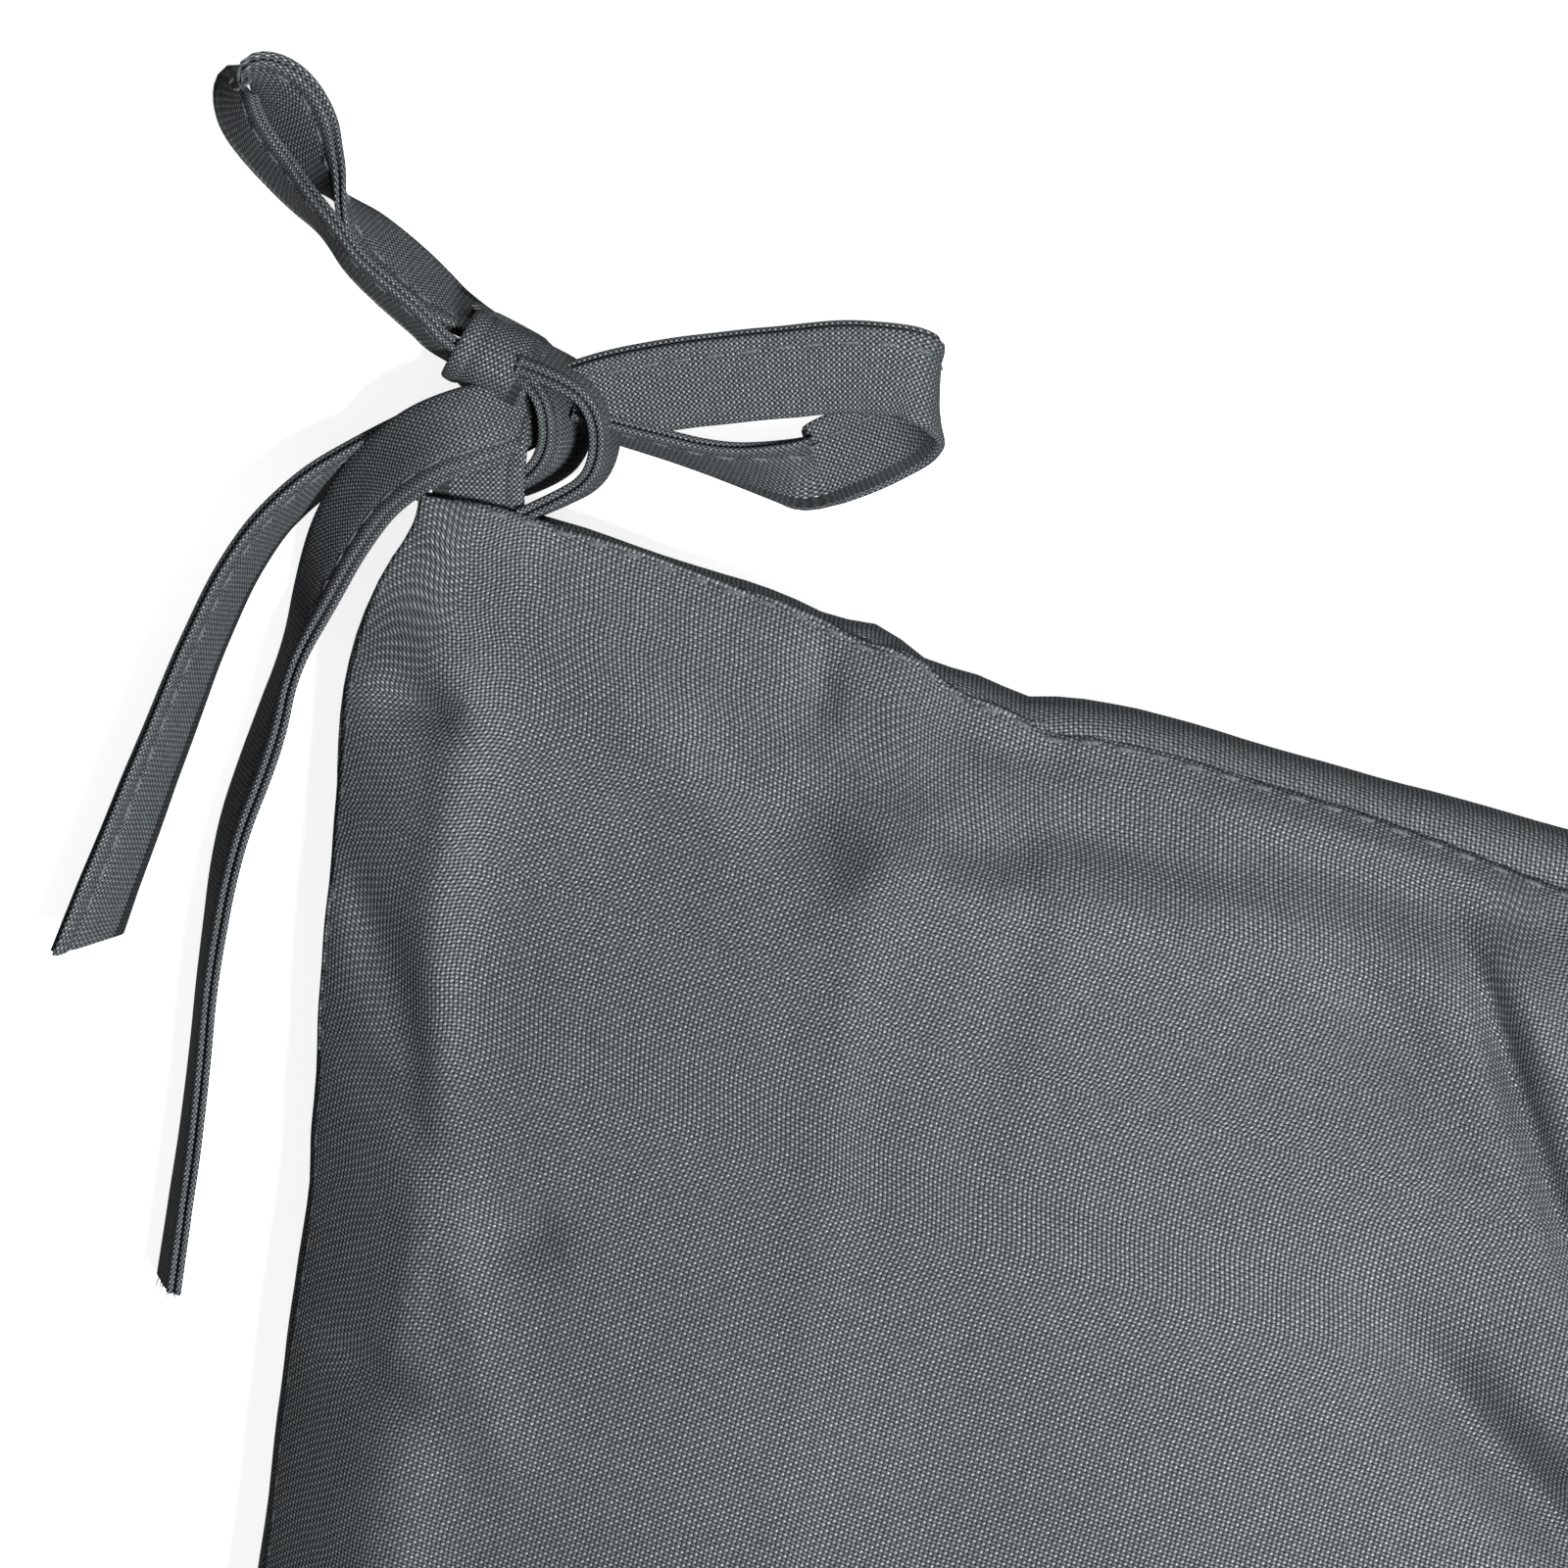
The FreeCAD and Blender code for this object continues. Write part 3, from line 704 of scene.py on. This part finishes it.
LOW_EDGE_LINES = (0.0, 0.6, 1.3, 2.2, 3.2, 4.4, 5.6, 7.0, 8.6, 10.4, 12.6, 15.2, 18.4, 22.0)
LOW_LINES = grid_lines(3.0, LOW_EDGE_LINES)
low = low_panel(*np.meshgrid(LOW_LINES, LOW_LINES, indexing="ij"))


def snap_to_seam(low, top):
    """Make the lower panel's rim lie on the upper panel's."""
    rim = np.concatenate([top[0], top[:, -1], top[-1][::-1], top[:, 0][::-1]])
    for index in (np.s_[0, :], np.s_[-1, :], np.s_[:, 0], np.s_[:, -1]):
        points = low[index]
        best = np.full(len(points), 1e9)
        found = points.copy()
        for start, end in zip(rim, rim[1:]):
            step = end - start
            t = np.clip((points - start) @ step / max(step @ step, 1e-12), 0, 1)
            near = start + t[:, None] * step
            far = np.linalg.norm(points - near, axis=1)
            closer = far < best
            found[closer] = near[closer]
            best[closer] = far[closer]
        low[index] = found


snap_to_seam(low, top)


def seam_mouth(panel, rise):
    """Lift a panel where the tie lies between the two, at both rear corners."""
    half_mouth, mouth_deep = 6.4, 9.0
    for mirror in (1, -1):
        across, along = row_to_tie(mirror * panel[..., 0], panel[..., 1])
        wide = 1 / (1 + (across / half_mouth) ** 8)
        deep = np.clip(1 + (along + 1.0) / mouth_deep, 0, 1)
        panel[..., 2] += rise * wide * deep * deep * (3 - 2 * deep)


def corner_lift(panel):
    """The rear corners stand higher than the rest of the seam, because the ties' ends fill them."""
    lift, reach = 0.0022, 0.016
    far = np.hypot(np.abs(panel[..., 0]) - HALF_SIDE, panel[..., 1] - HALF_SIDE)
    panel[..., 2] += lift * np.exp(-(far / reach) ** 2)


corner_lift(top)
corner_lift(low)
seam_mouth(top, 0.0010)
seam_mouth(low, -0.0008)

cover_top = sheet_object("cover_top", top, COVER_CLOTH, True)
cover_low = sheet_object("cover_bottom", low, COVER_CLOTH, False)
for cover, node in ((cover_top, "cover_top_panel"), (cover_low, "cover_bottom_panel")):
    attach(cover, "pad")
    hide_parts(node)


def filling_object():
    """The loose fibre as one closed form just under the cloth."""
    count = 60
    edge = 0.97
    under_top = 0.0055
    above_low = 0.0022
    rim_tall = 0.003
    steps = np.linspace(-edge, edge, count)
    a, b = np.meshgrid(steps, steps, indexing="ij")
    upper = resample(top, LINES_A, LINES_B, steps, steps)
    upper[..., 2] -= under_top
    lower = upper.copy()
    lower[..., 2] = np.minimum(above_low, upper[..., 2] - 0.001)
    rim = (np.abs(a) > edge - 0.001) | (np.abs(b) > edge - 0.001)
    upper[..., 2] = np.where(rim, lower[..., 2] + rim_tall, upper[..., 2])
    faces = [face[::-1] for face in grid_faces(count, count)]
    faces += grid_faces(count, count, count * count)
    ring = [(i, 0) for i in range(count)] + [(count - 1, j) for j in range(1, count)]
    ring += [(i, count - 1) for i in range(count - 2, -1, -1)] + [(0, j) for j in range(count - 2, 0, -1)]
    numbers = [i * count + j for i, j in ring]
    for here, ahead in zip(numbers, numbers[1:] + numbers[:1]):
        faces.append((ahead, here, here + count * count, ahead + count * count))
    points = np.concatenate([upper.reshape(-1, 3), lower.reshape(-1, 3)])
    return mesh_object("filling", points, faces, points, [FIBRE])


filling = filling_object()
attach(filling, "pad")
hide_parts("fibre_filling")


# ---- stitches -------------------------------------------------------------------------------

def stitch_row(name, centres, directions, normals, length, radius, material):
    """One mesh of short rounded threads, each lying along its direction with its ends dipping in."""
    rings, sides = 7, 8
    points = []
    faces = []
    cloth = []
    for number, (centre, along, up) in enumerate(zip(centres, directions, normals)):
        across = np.cross(along, up)
        start = len(points)
        for i in range(rings):
            t = 2 * i / (rings - 1) - 1
            fat = radius * math.sqrt(max(1 - abs(t) ** 6, 0.06))
            middle = centre + along * (t * length / 2) - up * (radius * 1.5 * t ** 4)
            for j in range(sides):
                angle = 2 * math.pi * j / sides
                points.append(middle + fat * (math.cos(angle) * across + math.sin(angle) * up))
                cloth.append((number * 0.01 + t * length / 2, angle * radius, 0.0))
        faces += tube_faces(rings, sides, start)
    return mesh_object(name, points, faces, cloth, [material])


def spaced(line, spacing, margin=0.0):
    """Even steps along a line: places and directions."""
    run = run_along(line)
    at = np.arange(margin, run[-1] - margin, spacing)

    def on_line(distances):
        return np.stack([np.interp(distances, run, line[:, k]) for k in range(3)], 1)

    reach = spacing * 0.2
    return on_line(at), unit(on_line(at + reach) - on_line(at - reach))


STITCH_PITCH = 0.004
STITCH_LONG = 0.0027
STITCH_THICK = 0.00026          # the seam thread's radius
STITCH_MARGIN = 0.009           # no stitches this near a corner
STITCH_RISE = (-0.0002, 0.00006, -0.0001, -0.0001)      # left, rear, right and front rows
rim_lines = (top[1, :], top[:, -2], top[-2, ::-1], top[::-1, 1])
inner_lines = (top[3, :], top[:, -4], top[-4, ::-1], top[::-1, 3])
centres, directions, normals = [], [], []
for rim_line, inner_line, rise in zip(rim_lines, inner_lines, STITCH_RISE):
    here, along = spaced(rim_line, STITCH_PITCH, STITCH_MARGIN)
    inner, _ = spaced(inner_line, STITCH_PITCH, STITCH_MARGIN)
    count = min(len(here), len(inner))
    inwards = unit(inner[:count] - here[:count])
    up = unit(np.cross(inwards, along[:count]))
    up *= np.sign(up[:, 2:3])
    centres.append(here[:count] + up * rise)
    directions.append(along[:count])
    normals.append(up)
edge_stitches = stitch_row(
    "edge_seam_stitches", np.concatenate(centres), np.concatenate(directions), np.concatenate(normals),
    STITCH_LONG, STITCH_THICK, DARK_THREAD)
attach(edge_stitches, "pad")
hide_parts("edge_seam_thread")


# ---- ties -----------------------------------------------------------------------------------

TAPE_STEP = 0.55                # between the sections of a tape
FLOOR_GAP = 0.05                # no part of a tie lies lower than this
SLANT_LONG = 8.0                # a slanted cut takes up this length of the tape
STITCH_LINE = 2.9               # from the middle of the tape towards its open edge
STITCH_LIFT = 0.66              # from the middle of the tape's thickness
TIE_STITCH_PITCH = 3.7
TIE_STITCH_LONG = 0.0026
TIE_STITCH_THICK = 0.00019
# Section of the folded tape in mm, (width, height): round at its fold, two rolled edges and the slit
# between them at its open side, and a groove under each row of stitches.
TAPE_SECTION = (
    (-4.5, -0.78), (-4.95, -0.62), (-5.2, -0.25), (-5.2, 0.25), (-4.95, 0.62), (-4.5, 0.8),
    (-3.2, 0.86), (-1.2, 0.84), (0.8, 0.83), (2.1, 0.8), (2.55, 0.72), (2.9, 0.58), (3.25, 0.72),
    (3.7, 0.84), (4.2, 0.84), (4.6, 0.7), (4.72, 0.42), (4.55, 0.14), (4.1, 0.03), (3.0, 0.0),
    (4.2, -0.04), (4.9, -0.06), (5.2, -0.26), (5.22, -0.55), (4.95, -0.78), (4.4, -0.84),
    (3.7, -0.84), (3.25, -0.72), (2.9, -0.58), (2.55, -0.72), (2.1, -0.8), (0.8, -0.83),
    (-1.2, -0.84), (-3.2, -0.84),
)


def tape(name, mirror, route, slant=0.0, waver=0.12, seed=0.0):
    """A stretch of folded tape.  route is (x, y, z, width direction x, y, z, squeeze) in tie mm.

    Gives the object, its centreline in the row frame, and a function that places its stitches.
    """
    line = smooth_line([p[:3] for p in route])
    widths = smooth_line([p[3:6] for p in route])
    squeezes = smooth_line([(p[6] if len(p) > 6 else 1.0, 0.0, 0.0) for p in route])[:, 0]
    run = run_along(line)
    count = int(run[-1] / TAPE_STEP) + 1
    at = np.linspace(0, run[-1], count)

    def even(values):
        return np.stack([np.interp(at, run, values[:, k]) for k in range(values.shape[1])], 1)

    middle = even(line)
    tangent = unit(np.gradient(middle, axis=0))
    wide = even(widths)
    wide = unit(wide - tangent * (wide * tangent).sum(1, keepdims=True))
    face = np.cross(tangent, wide)
    squeeze = np.interp(at, run, squeezes)
    section = np.array(TAPE_SECTION)
    edge_run = run_along(section)
    points = []
    cloth = []
    for i in range(count):
        sway = waver * noise.noise((at[i] * 0.16, seed, 0.3))
        cup = 0.05 * noise.noise((at[i] * 0.1, seed, 7.3))
        end_shift = slant * max(1 - (run[-1] - at[i]) / SLANT_LONG, 0) ** 2
        for (w, h), e in zip(section, edge_run):
            w = w * squeeze[i] + sway
            h = h * (1 + 0.35 * (1 - squeeze[i])) + cup * (w * w / 8.0 - 1.0)
            points.append(middle[i] + wide[i] * w + face[i] * h + tangent[i] * (end_shift * w))
            cloth.append((at[i] * MM, e * MM, 0.0))
    size = len(section)
    faces = grid_faces(count, size, closed=True)
    faces.append(tuple(range(size)))
    faces.append(tuple((count - 1) * size + j for j in range(size))[::-1])
    if mirror > 0:
        faces = [face_[::-1] for face_ in faces]
    points = np.array(points)
    points[:, 2] = np.maximum(points[:, 2], FLOOR_GAP)
    obj = mesh_object(name, tie_to_row(points, mirror), faces, cloth, [TIE_CLOTH])
    centre = tie_to_row(middle, mirror)

    def stitches(row_name, side):
        """A row of stitches on the tape's face (1) or back (-1)."""
        places = np.arange(2.0, run[-1] - 1.5, TIE_STITCH_PITCH)
        where = np.clip(np.round(places / run[-1] * (count - 1)).astype(int), 0, count - 1)
        offset = wide[where] * (STITCH_LINE * squeeze[where])[:, None]
        stitch_centres = middle[where] + offset + face[where] * (side * STITCH_LIFT)
        tips = tie_to_row(stitch_centres + tangent[where], mirror)
        ups = tie_to_row(stitch_centres + face[where] * side, mirror)
        base = tie_to_row(stitch_centres, mirror)
        return stitch_row(
            row_name, base, unit(tips - base), unit(ups - base),
            TIE_STITCH_LONG, TIE_STITCH_THICK, DARK_THREAD)

    return obj, centre, stitches


# Routes of the tape, each point (x, y, z, direction of its width, squeeze of its width if any).
# The bow's two loops: the upper one's left leg lies higher, and the side one turns over at its end.
UPPER_LOOP = (
    (5, 12.6, 5.6, 0.1, 0.2, 0.97, 0.6), (-3.8, 17.3, 7.6, 0.2, 0.26, 0.94, 0.8),
    (-6.7, 20.8, 8.4, 0.24, 0.3, 0.93), (-10.6, 24.3, 8.8, 0.24, 0.28, 0.93),
    (-13.8, 27.4, 8.8, 0.22, 0.26, 0.94), (-15.9, 30.6, 8.4, 0.2, 0.24, 0.95),
    (-18, 33, 7.6, 0.2, 0.26, 0.94), (-21.2, 36, 5.8, 0.36, 0.3, 0.88),
    (-24.3, 39.5, 5.2, 0.46, 0.24, 0.85), (-26.7, 43, 4.9, 0.52, 0.2, 0.83),
    (-27.3, 46.4, 4.8, 0.52, 0.12, 0.84), (-26.5, 48.1, 4.8, 0.46, 0.18, 0.87),
    (-24.5, 47.8, 4.8, 0.55, 0.42, 0.72, 0.97), (-22, 46.2, 4.8, 0.68, 0.4, 0.61),
    (-20.2, 43.2, 4.8, 0.76, 0.3, 0.58), (-19, 39.8, 4.8, 0.72, 0.26, 0.64),
    (-17.3, 36.9, 4.9, 0.5, 0.2, 0.84), (-15.4, 33.8, 4.9, 0.1, 0, 0.99),
    (-13.4, 31, 5, -0.2, -0.22, 0.95), (-9.6, 27.2, 5, -0.28, -0.34, 0.9),
    (-5.8, 23.6, 5, -0.28, -0.34, 0.9), (-1.6, 20.5, 5, -0.16, -0.24, 0.96, 0.8),
    (6.4, 15.8, 5.6, -0.1, -0.2, 0.97, 0.6),
)
SIDE_LOOP = (
    (6.8, 11, 7.8, 0, 0.92, 0.4, 0.7), (14.5, 12.4, 8.6, -0.12, 0.97, 0.2),
    (27, 14.1, 9, -0.12, 0.98, 0.1), (40.5, 15.5, 8.9, -0.08, 0.99, 0.05),
    (47.4, 15, 8.4, 0.04, 1, 0), (50.6, 13.6, 7.2, 0.02, 1, 0),
    (50.9, 11, 3.2, 0.05, 0.99, -0.04), (48.4, 8.2, 1.4, 0.3, 0.95, -0.02),
    (43.6, 5.6, 1.1, 0.42, 0.9, 0), (38, 3.4, 1.2, 0.3, 0.94, 0.1),
    (36.6, 2.7, 1.6, 0.24, 0.92, 0.25), (34.6, 2.9, 2.6, 0.34, 0.72, 0.6),
    (26.4, 4.3, 4.2, 0.26, 0.36, 0.9, 0.95), (18.4, 6.9, 5.2, 0.18, 0.3, 0.94, 0.9),
    (10, 9.4, 6, 0.1, 0.3, 0.95, 0.8),
)
OUTER_TAIL = (
    (-6.6, 7.6, 3.6, -0.5, 0.5, 0.7, 0.8), (-14.4, 4.8, 4.4, -0.24, 0.34, 0.9, 0.95),
    (-20.2, 1.4, 5, -0.26, 0.22, 0.94), (-27, -5.6, 5.2, -0.3, 0.18, 0.93),
    (-33.8, -20, 5, -0.36, 0.16, 0.91), (-40.1, -36, 4.6, -0.46, 0.2, 0.86),
    (-46.2, -50.8, 4, -0.54, 0.24, 0.8),
)
INNER_TAIL = (
    (6, 10.6, 8.4, -0.3, -0.86, 0.4, 0.8), (0.6, 9.4, 12.6, 0.1, -0.92, 0.38, 0.95),
    (-5.8, 7.5, 13, 0.4, -0.78, 0.46, 0.95), (-11.5, 3, 10, 0.58, -0.58, 0.56, 0.9),
    (-15.8, -2.7, 7.4, 0.62, -0.4, 0.66, 0.9), (-18.8, -9.4, 5.8, 0.5, -0.2, 0.84, 0.95),
    (-22, -17.8, 5.4, 0.2, 0.05, 0.98), (-25, -26.8, 5.3, 0.36, -0.1, 0.93),
    (-29.7, -39.2, 5.3, 0.3, -0.06, 0.95), (-32, -52.4, 5.4, 0.2, -0.02, 0.98),
    (-33.6, -66.2, 5.4, 0.22, 0, 0.98), (-35.5, -79.2, 5.3, 0.24, 0, 0.97),
    (-37.4, -90.2, 5.2, 0.26, 0, 0.97),
)
# The knot: the tie's root, the sleeve round the upper loop's legs, and the strands on its right.
ROOT = (
    (0, -6, 9.2, 1, 0, 0), (0, -1.5, 10.4, 1, 0, 0),
    (0.1, 3.4, 11.2, 1, 0.05, 0), (0.9, 7.5, 10, 0.98, 0.12, 0.1, 0.95),
    (2.4, 11.5, 6.8, 0.95, 0.2, 0.15, 0.85), (3.4, 15.5, 4.2, 0.95, 0.2, 0.15, 0.8),
)
OUTER_TURN = (
    (4.6, -1.4, 8.6, 0, 0.1, 1, 0.75), (9.2, 0.5, 8.2, 0, 0.15, 1, 0.85),
    (12.9, 2.5, 8, -0.08, 0.16, 0.98, 0.9), (14.4, 6.6, 8.4, -0.17, 0.03, 0.98, 0.9),
    (13.8, 11.6, 9.2, -0.15, -0.08, 0.98, 0.9), (10.6, 14.8, 9.8, -0.1, -0.14, 0.98, 0.85),
    (5.4, 16.9, 9.4, -0.1, -0.3, 0.95, 0.7),
)
INNER_TURN = (
    (4, 1.6, 7.4, -0.3, 0.1, 0.95, 0.75), (7.6, 3.2, 7.8, -0.46, 0.1, 0.88, 0.85),
    (9.9, 6.6, 8.2, -0.5, 0, 0.86, 0.9), (9.7, 10.8, 8.8, -0.46, -0.05, 0.88, 0.9),
    (7.8, 14.2, 9.2, -0.3, -0.15, 0.94, 0.85), (5, 16, 8.8, -0.1, -0.2, 1, 0.7),
)
SLEEVE_AXIS = (-0.885, 0.465)
SLEEVE_MIDDLE = (1.9, 16.0, 6.2)
SLEEVE_TURNS = 1.2
SLEEVE_OUT = 3.7                # from its middle to the tape, before it laps over itself
SLEEVE_START = -60              # degrees


def sleeve_route():
    """One turn and a bit of the tape, round the upper loop's legs."""
    route = []
    points = 15
    side = (SLEEVE_AXIS[1], -SLEEVE_AXIS[0])
    for number in range(points):
        share = number / (points - 1)
        angle = math.radians(SLEEVE_START) + 2 * math.pi * SLEEVE_TURNS * share
        out = SLEEVE_OUT + 0.4 * number / points
        drift = 0.8 * (share - 0.5)
        x = SLEEVE_MIDDLE[0] + side[0] * out * math.cos(angle) + SLEEVE_AXIS[0] * drift
        y = SLEEVE_MIDDLE[1] + side[1] * out * math.cos(angle) + SLEEVE_AXIS[1] * drift
        z = SLEEVE_MIDDLE[2] + (out + 1.5) * math.sin(angle)
        route.append((x, y, z, SLEEVE_AXIS[0], SLEEVE_AXIS[1], -0.06, 0.92))
    return route


def frayed_end(name, mirror, centre_tip, back_tip):
    """Loose yarns at a raw cut end."""
    draw = random.Random(11)
    tip = np.array(centre_tip)
    out = unit(tip - np.array(back_tip))
    points, faces, cloth = [], [], []
    sides, rings = 5, 6
    yarns = 26
    yarn_thick = 0.11
    for number in range(yarns):
        start = len(points)
        w, h = draw.uniform(-4.6, 4.6), draw.uniform(-0.6, 0.6)
        root = tip + np.array((0.3 * w + h, 0.0, 0.95 * w)) + out * draw.uniform(-0.8, 0.1)
        lean = np.array([draw.uniform(-0.5, 0.5) for _ in range(3)])
        length = draw.uniform(0.5, 1.7)
        for i in range(rings):
            t = i / (rings - 1)
            here = root + out * length * t + lean * length * t * t * 0.7
            here[2] = max(here[2], 0.15)
            fat = yarn_thick * (1 - 0.5 * t)
            for j in range(sides):
                angle = 2 * math.pi * j / sides
                points.append(here + fat * np.array((math.cos(angle), 0.0, math.sin(angle))))
                cloth.append((t * length * MM, angle * 0.0001, 0.0))
        faces += tube_faces(rings, sides, start)
    return mesh_object(name, tie_to_row(points, mirror), faces, cloth, [PALE_THREAD])


def joined(name, objects):
    """Several meshes as one piece."""
    points, faces, cloth = [], [], []
    for obj in objects:
        start = len(points)
        points += [v.co[:] for v in obj.data.vertices]
        faces += [tuple(start + v for v in polygon.vertices) for polygon in obj.data.polygons]
        cloth += [a.vector[:] for a in obj.data.attributes["cloth"].data]
        bpy.data.objects.remove(obj)
    return mesh_object(name, points, faces, cloth, [TIE_CLOTH])


def stitch_rows(stitches, name):
    """The rows of stitches on both faces of a tape."""
    return [stitches(name + "_stitches", 1), stitches(name + "_back_stitches", -1)]


def declare_cord(piece, centre):
    """Measure the length of a stretch of tape along its centre; nothing is kept."""
    run = float(np.linalg.norm(np.diff(centre, axis=0), axis=1).sum())
    tuple(centre[0])
    [tuple(p) for p in centre]


def build_tie(hand, mirror):
    bow, tails = hand + "_bow", hand + "_tails"
    name = hand + "_tie_"
    at_seam = tie_to_row((0.0, 0.0, 10.0), mirror)[0]
    past_seam = tie_to_row((0.0, 4.0, 10.0), mirror)[0]
    at_knot = tie_to_row((-2.0, 8.5, 8.0), mirror)[0]
    past_knot = tie_to_row((-9.0, 4.5, 8.0), mirror)[0]

    root, _, _ = tape(name + "strip_root", mirror, ROOT, seed=1.0)
    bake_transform(root)
    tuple(at_seam)
    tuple(past_seam)
    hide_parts(name + "root", name + "sewn_end")
    turns = [
        tape("turn", mirror, OUTER_TURN, seed=2.0)[0],
        tape("turn", mirror, INNER_TURN, seed=3.0)[0],
        tape("turn", mirror, sleeve_route(), seed=4.0, waver=0.05)[0],
    ]
    knot = joined(name + "knot_wraps", turns)
    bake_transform(knot)
    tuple(at_seam)
    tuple(past_seam)
    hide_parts(name + "knot")

    loops = (("upper", UPPER_LOOP, 5.0), ("side", SIDE_LOOP, 6.0))
    for word, route, seed in loops:
        loop, centre, stitches = tape(name + word + "_bow_loop", mirror, route, seed=seed)
        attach(loop, bow)
        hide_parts(name + word + "_loop")
        rows = stitch_rows(stitches, name + word + "_loop")
        for row in rows:
            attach(row, bow)
        declare_cord(loop, centre)

    tails_made = (("outer", OUTER_TAIL, 7.0, 0.35), ("inner", INNER_TAIL, 8.0, 0.0))
    for word, route, seed, slant in tails_made:
        tail, centre, stitches = tape(name + word + "_cloth_tail", mirror, route, seed=seed, slant=slant)
        rows = stitch_rows(stitches, name + word + "_tail")
        if word == "inner":
            rows.append(frayed_end(name + "frayed_yarns", mirror, route[-1][:3], route[-2][:3]))
        for piece in [tail] + rows:
            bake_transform(piece)
            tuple(at_knot)
            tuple(past_knot)
        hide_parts(name + word + "_tail")
        if word == "outer":
            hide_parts(name + "topstitch")
        declare_cord(tail, centre)


for hand, mirror in HANDS:
    build_tie(hand, mirror)


# ---- floor, light and camera ----------------------------------------------------------------

def make_floor():
    """A pale floor that glows a little and leaves the light on the pad as it is."""
    mesh = bpy.data.meshes.new("floor")
    side = 6.0
    corners = [(-side, -side, 0), (side, -side, 0), (side, side, 0), (-side, side, 0)]
    mesh.from_pydata(corners, [], [(0, 1, 2, 3)])
    n = Nodes("pale_floor")
    place = n.add("ShaderNodeTexCoord").outputs["Object"]
    shade = n.mix(n.noise(place, 3.0), (0.86, 0.86, 0.86, 1.0), (0.9, 0.9, 0.9, 1.0))
    mesh.materials.append(n.finish(
        Base_Color=shade,
        Roughness=0.9,
        Emission_Color=shade,
        Emission_Strength=0.95,
    ))
    obj = placed("floor", mesh)
    obj.visible_diffuse = False
    obj.visible_glossy = False


def area_light(name, shift, size, power):
    """A square light that faces the picture's middle from a shift right, up the picture and up."""
    place = PICTURE_MIDDLE + VIEW_RIGHT * shift[0] + VIEW_UP * shift[1] + Vector((0, 0, shift[2]))
    light = bpy.data.lights.new(name, "AREA")
    light.size = size
    light.energy = power
    obj = placed(name, light)
    obj.location = place
    obj.rotation_euler = (PICTURE_MIDDLE - place).to_track_quat("-Z", "Y").to_euler()


make_floor()
VIEW_RIGHT = Vector(TIE_ACROSS)
VIEW_UP = Vector(TIE_ALONG)
# To the right of the tie's root, and below it in the picture.
PICTURE_MIDDLE = TIE_ROOT + VIEW_RIGHT * 0.0341 - VIEW_UP * 0.03135
PICTURE_MIDDLE.z = 0.012

area_light("rear_fill", (0.8, 1.1, 0.4), 0.8, 9.0)
area_light("key", (0.6, -0.36, 1.3), 0.3, 45.0)

WORLD_STRENGTH = 0.15
world = bpy.data.worlds.new("studio")
world.use_nodes = True
world.node_tree.nodes["Background"].inputs[0].default_value = (1.0, 1.0, 1.0, 1.0)
world.node_tree.nodes["Background"].inputs[1].default_value = WORLD_STRENGTH
SCENE.world = world

LENS = 250.0
SENSOR = 36.0
FRAMED = 0.176                  # width of the view at the pad's seam
TILT_BACK = 9.0                 # degrees that the camera stands off straight down, to the rear
TILT_RIGHT = 4.0                # and to the right
camera_data = bpy.data.cameras.new("camera")
camera_data.lens = LENS
camera_data.sensor_width = SENSOR
camera = placed("camera", camera_data)
distance = FRAMED * LENS / SENSOR
back = (VIEW_UP * math.tan(math.radians(TILT_BACK)) + VIEW_RIGHT * math.tan(math.radians(TILT_RIGHT))
        + Vector((0, 0, 1))).normalized()
right = VIEW_RIGHT - back * VIEW_RIGHT.dot(back)
right.normalize()
upward = back.cross(right)
camera.matrix_world = Matrix.Translation(PICTURE_MIDDLE + back * distance) @ Matrix((
    (right.x, upward.x, back.x, 0), (right.y, upward.y, back.y, 0), (right.z, upward.z, back.z, 0),
    (0, 0, 0, 1)))
camera_data.clip_start = 0.02
SCENE.camera = camera
SCENE.view_settings.view_transform = "Standard"
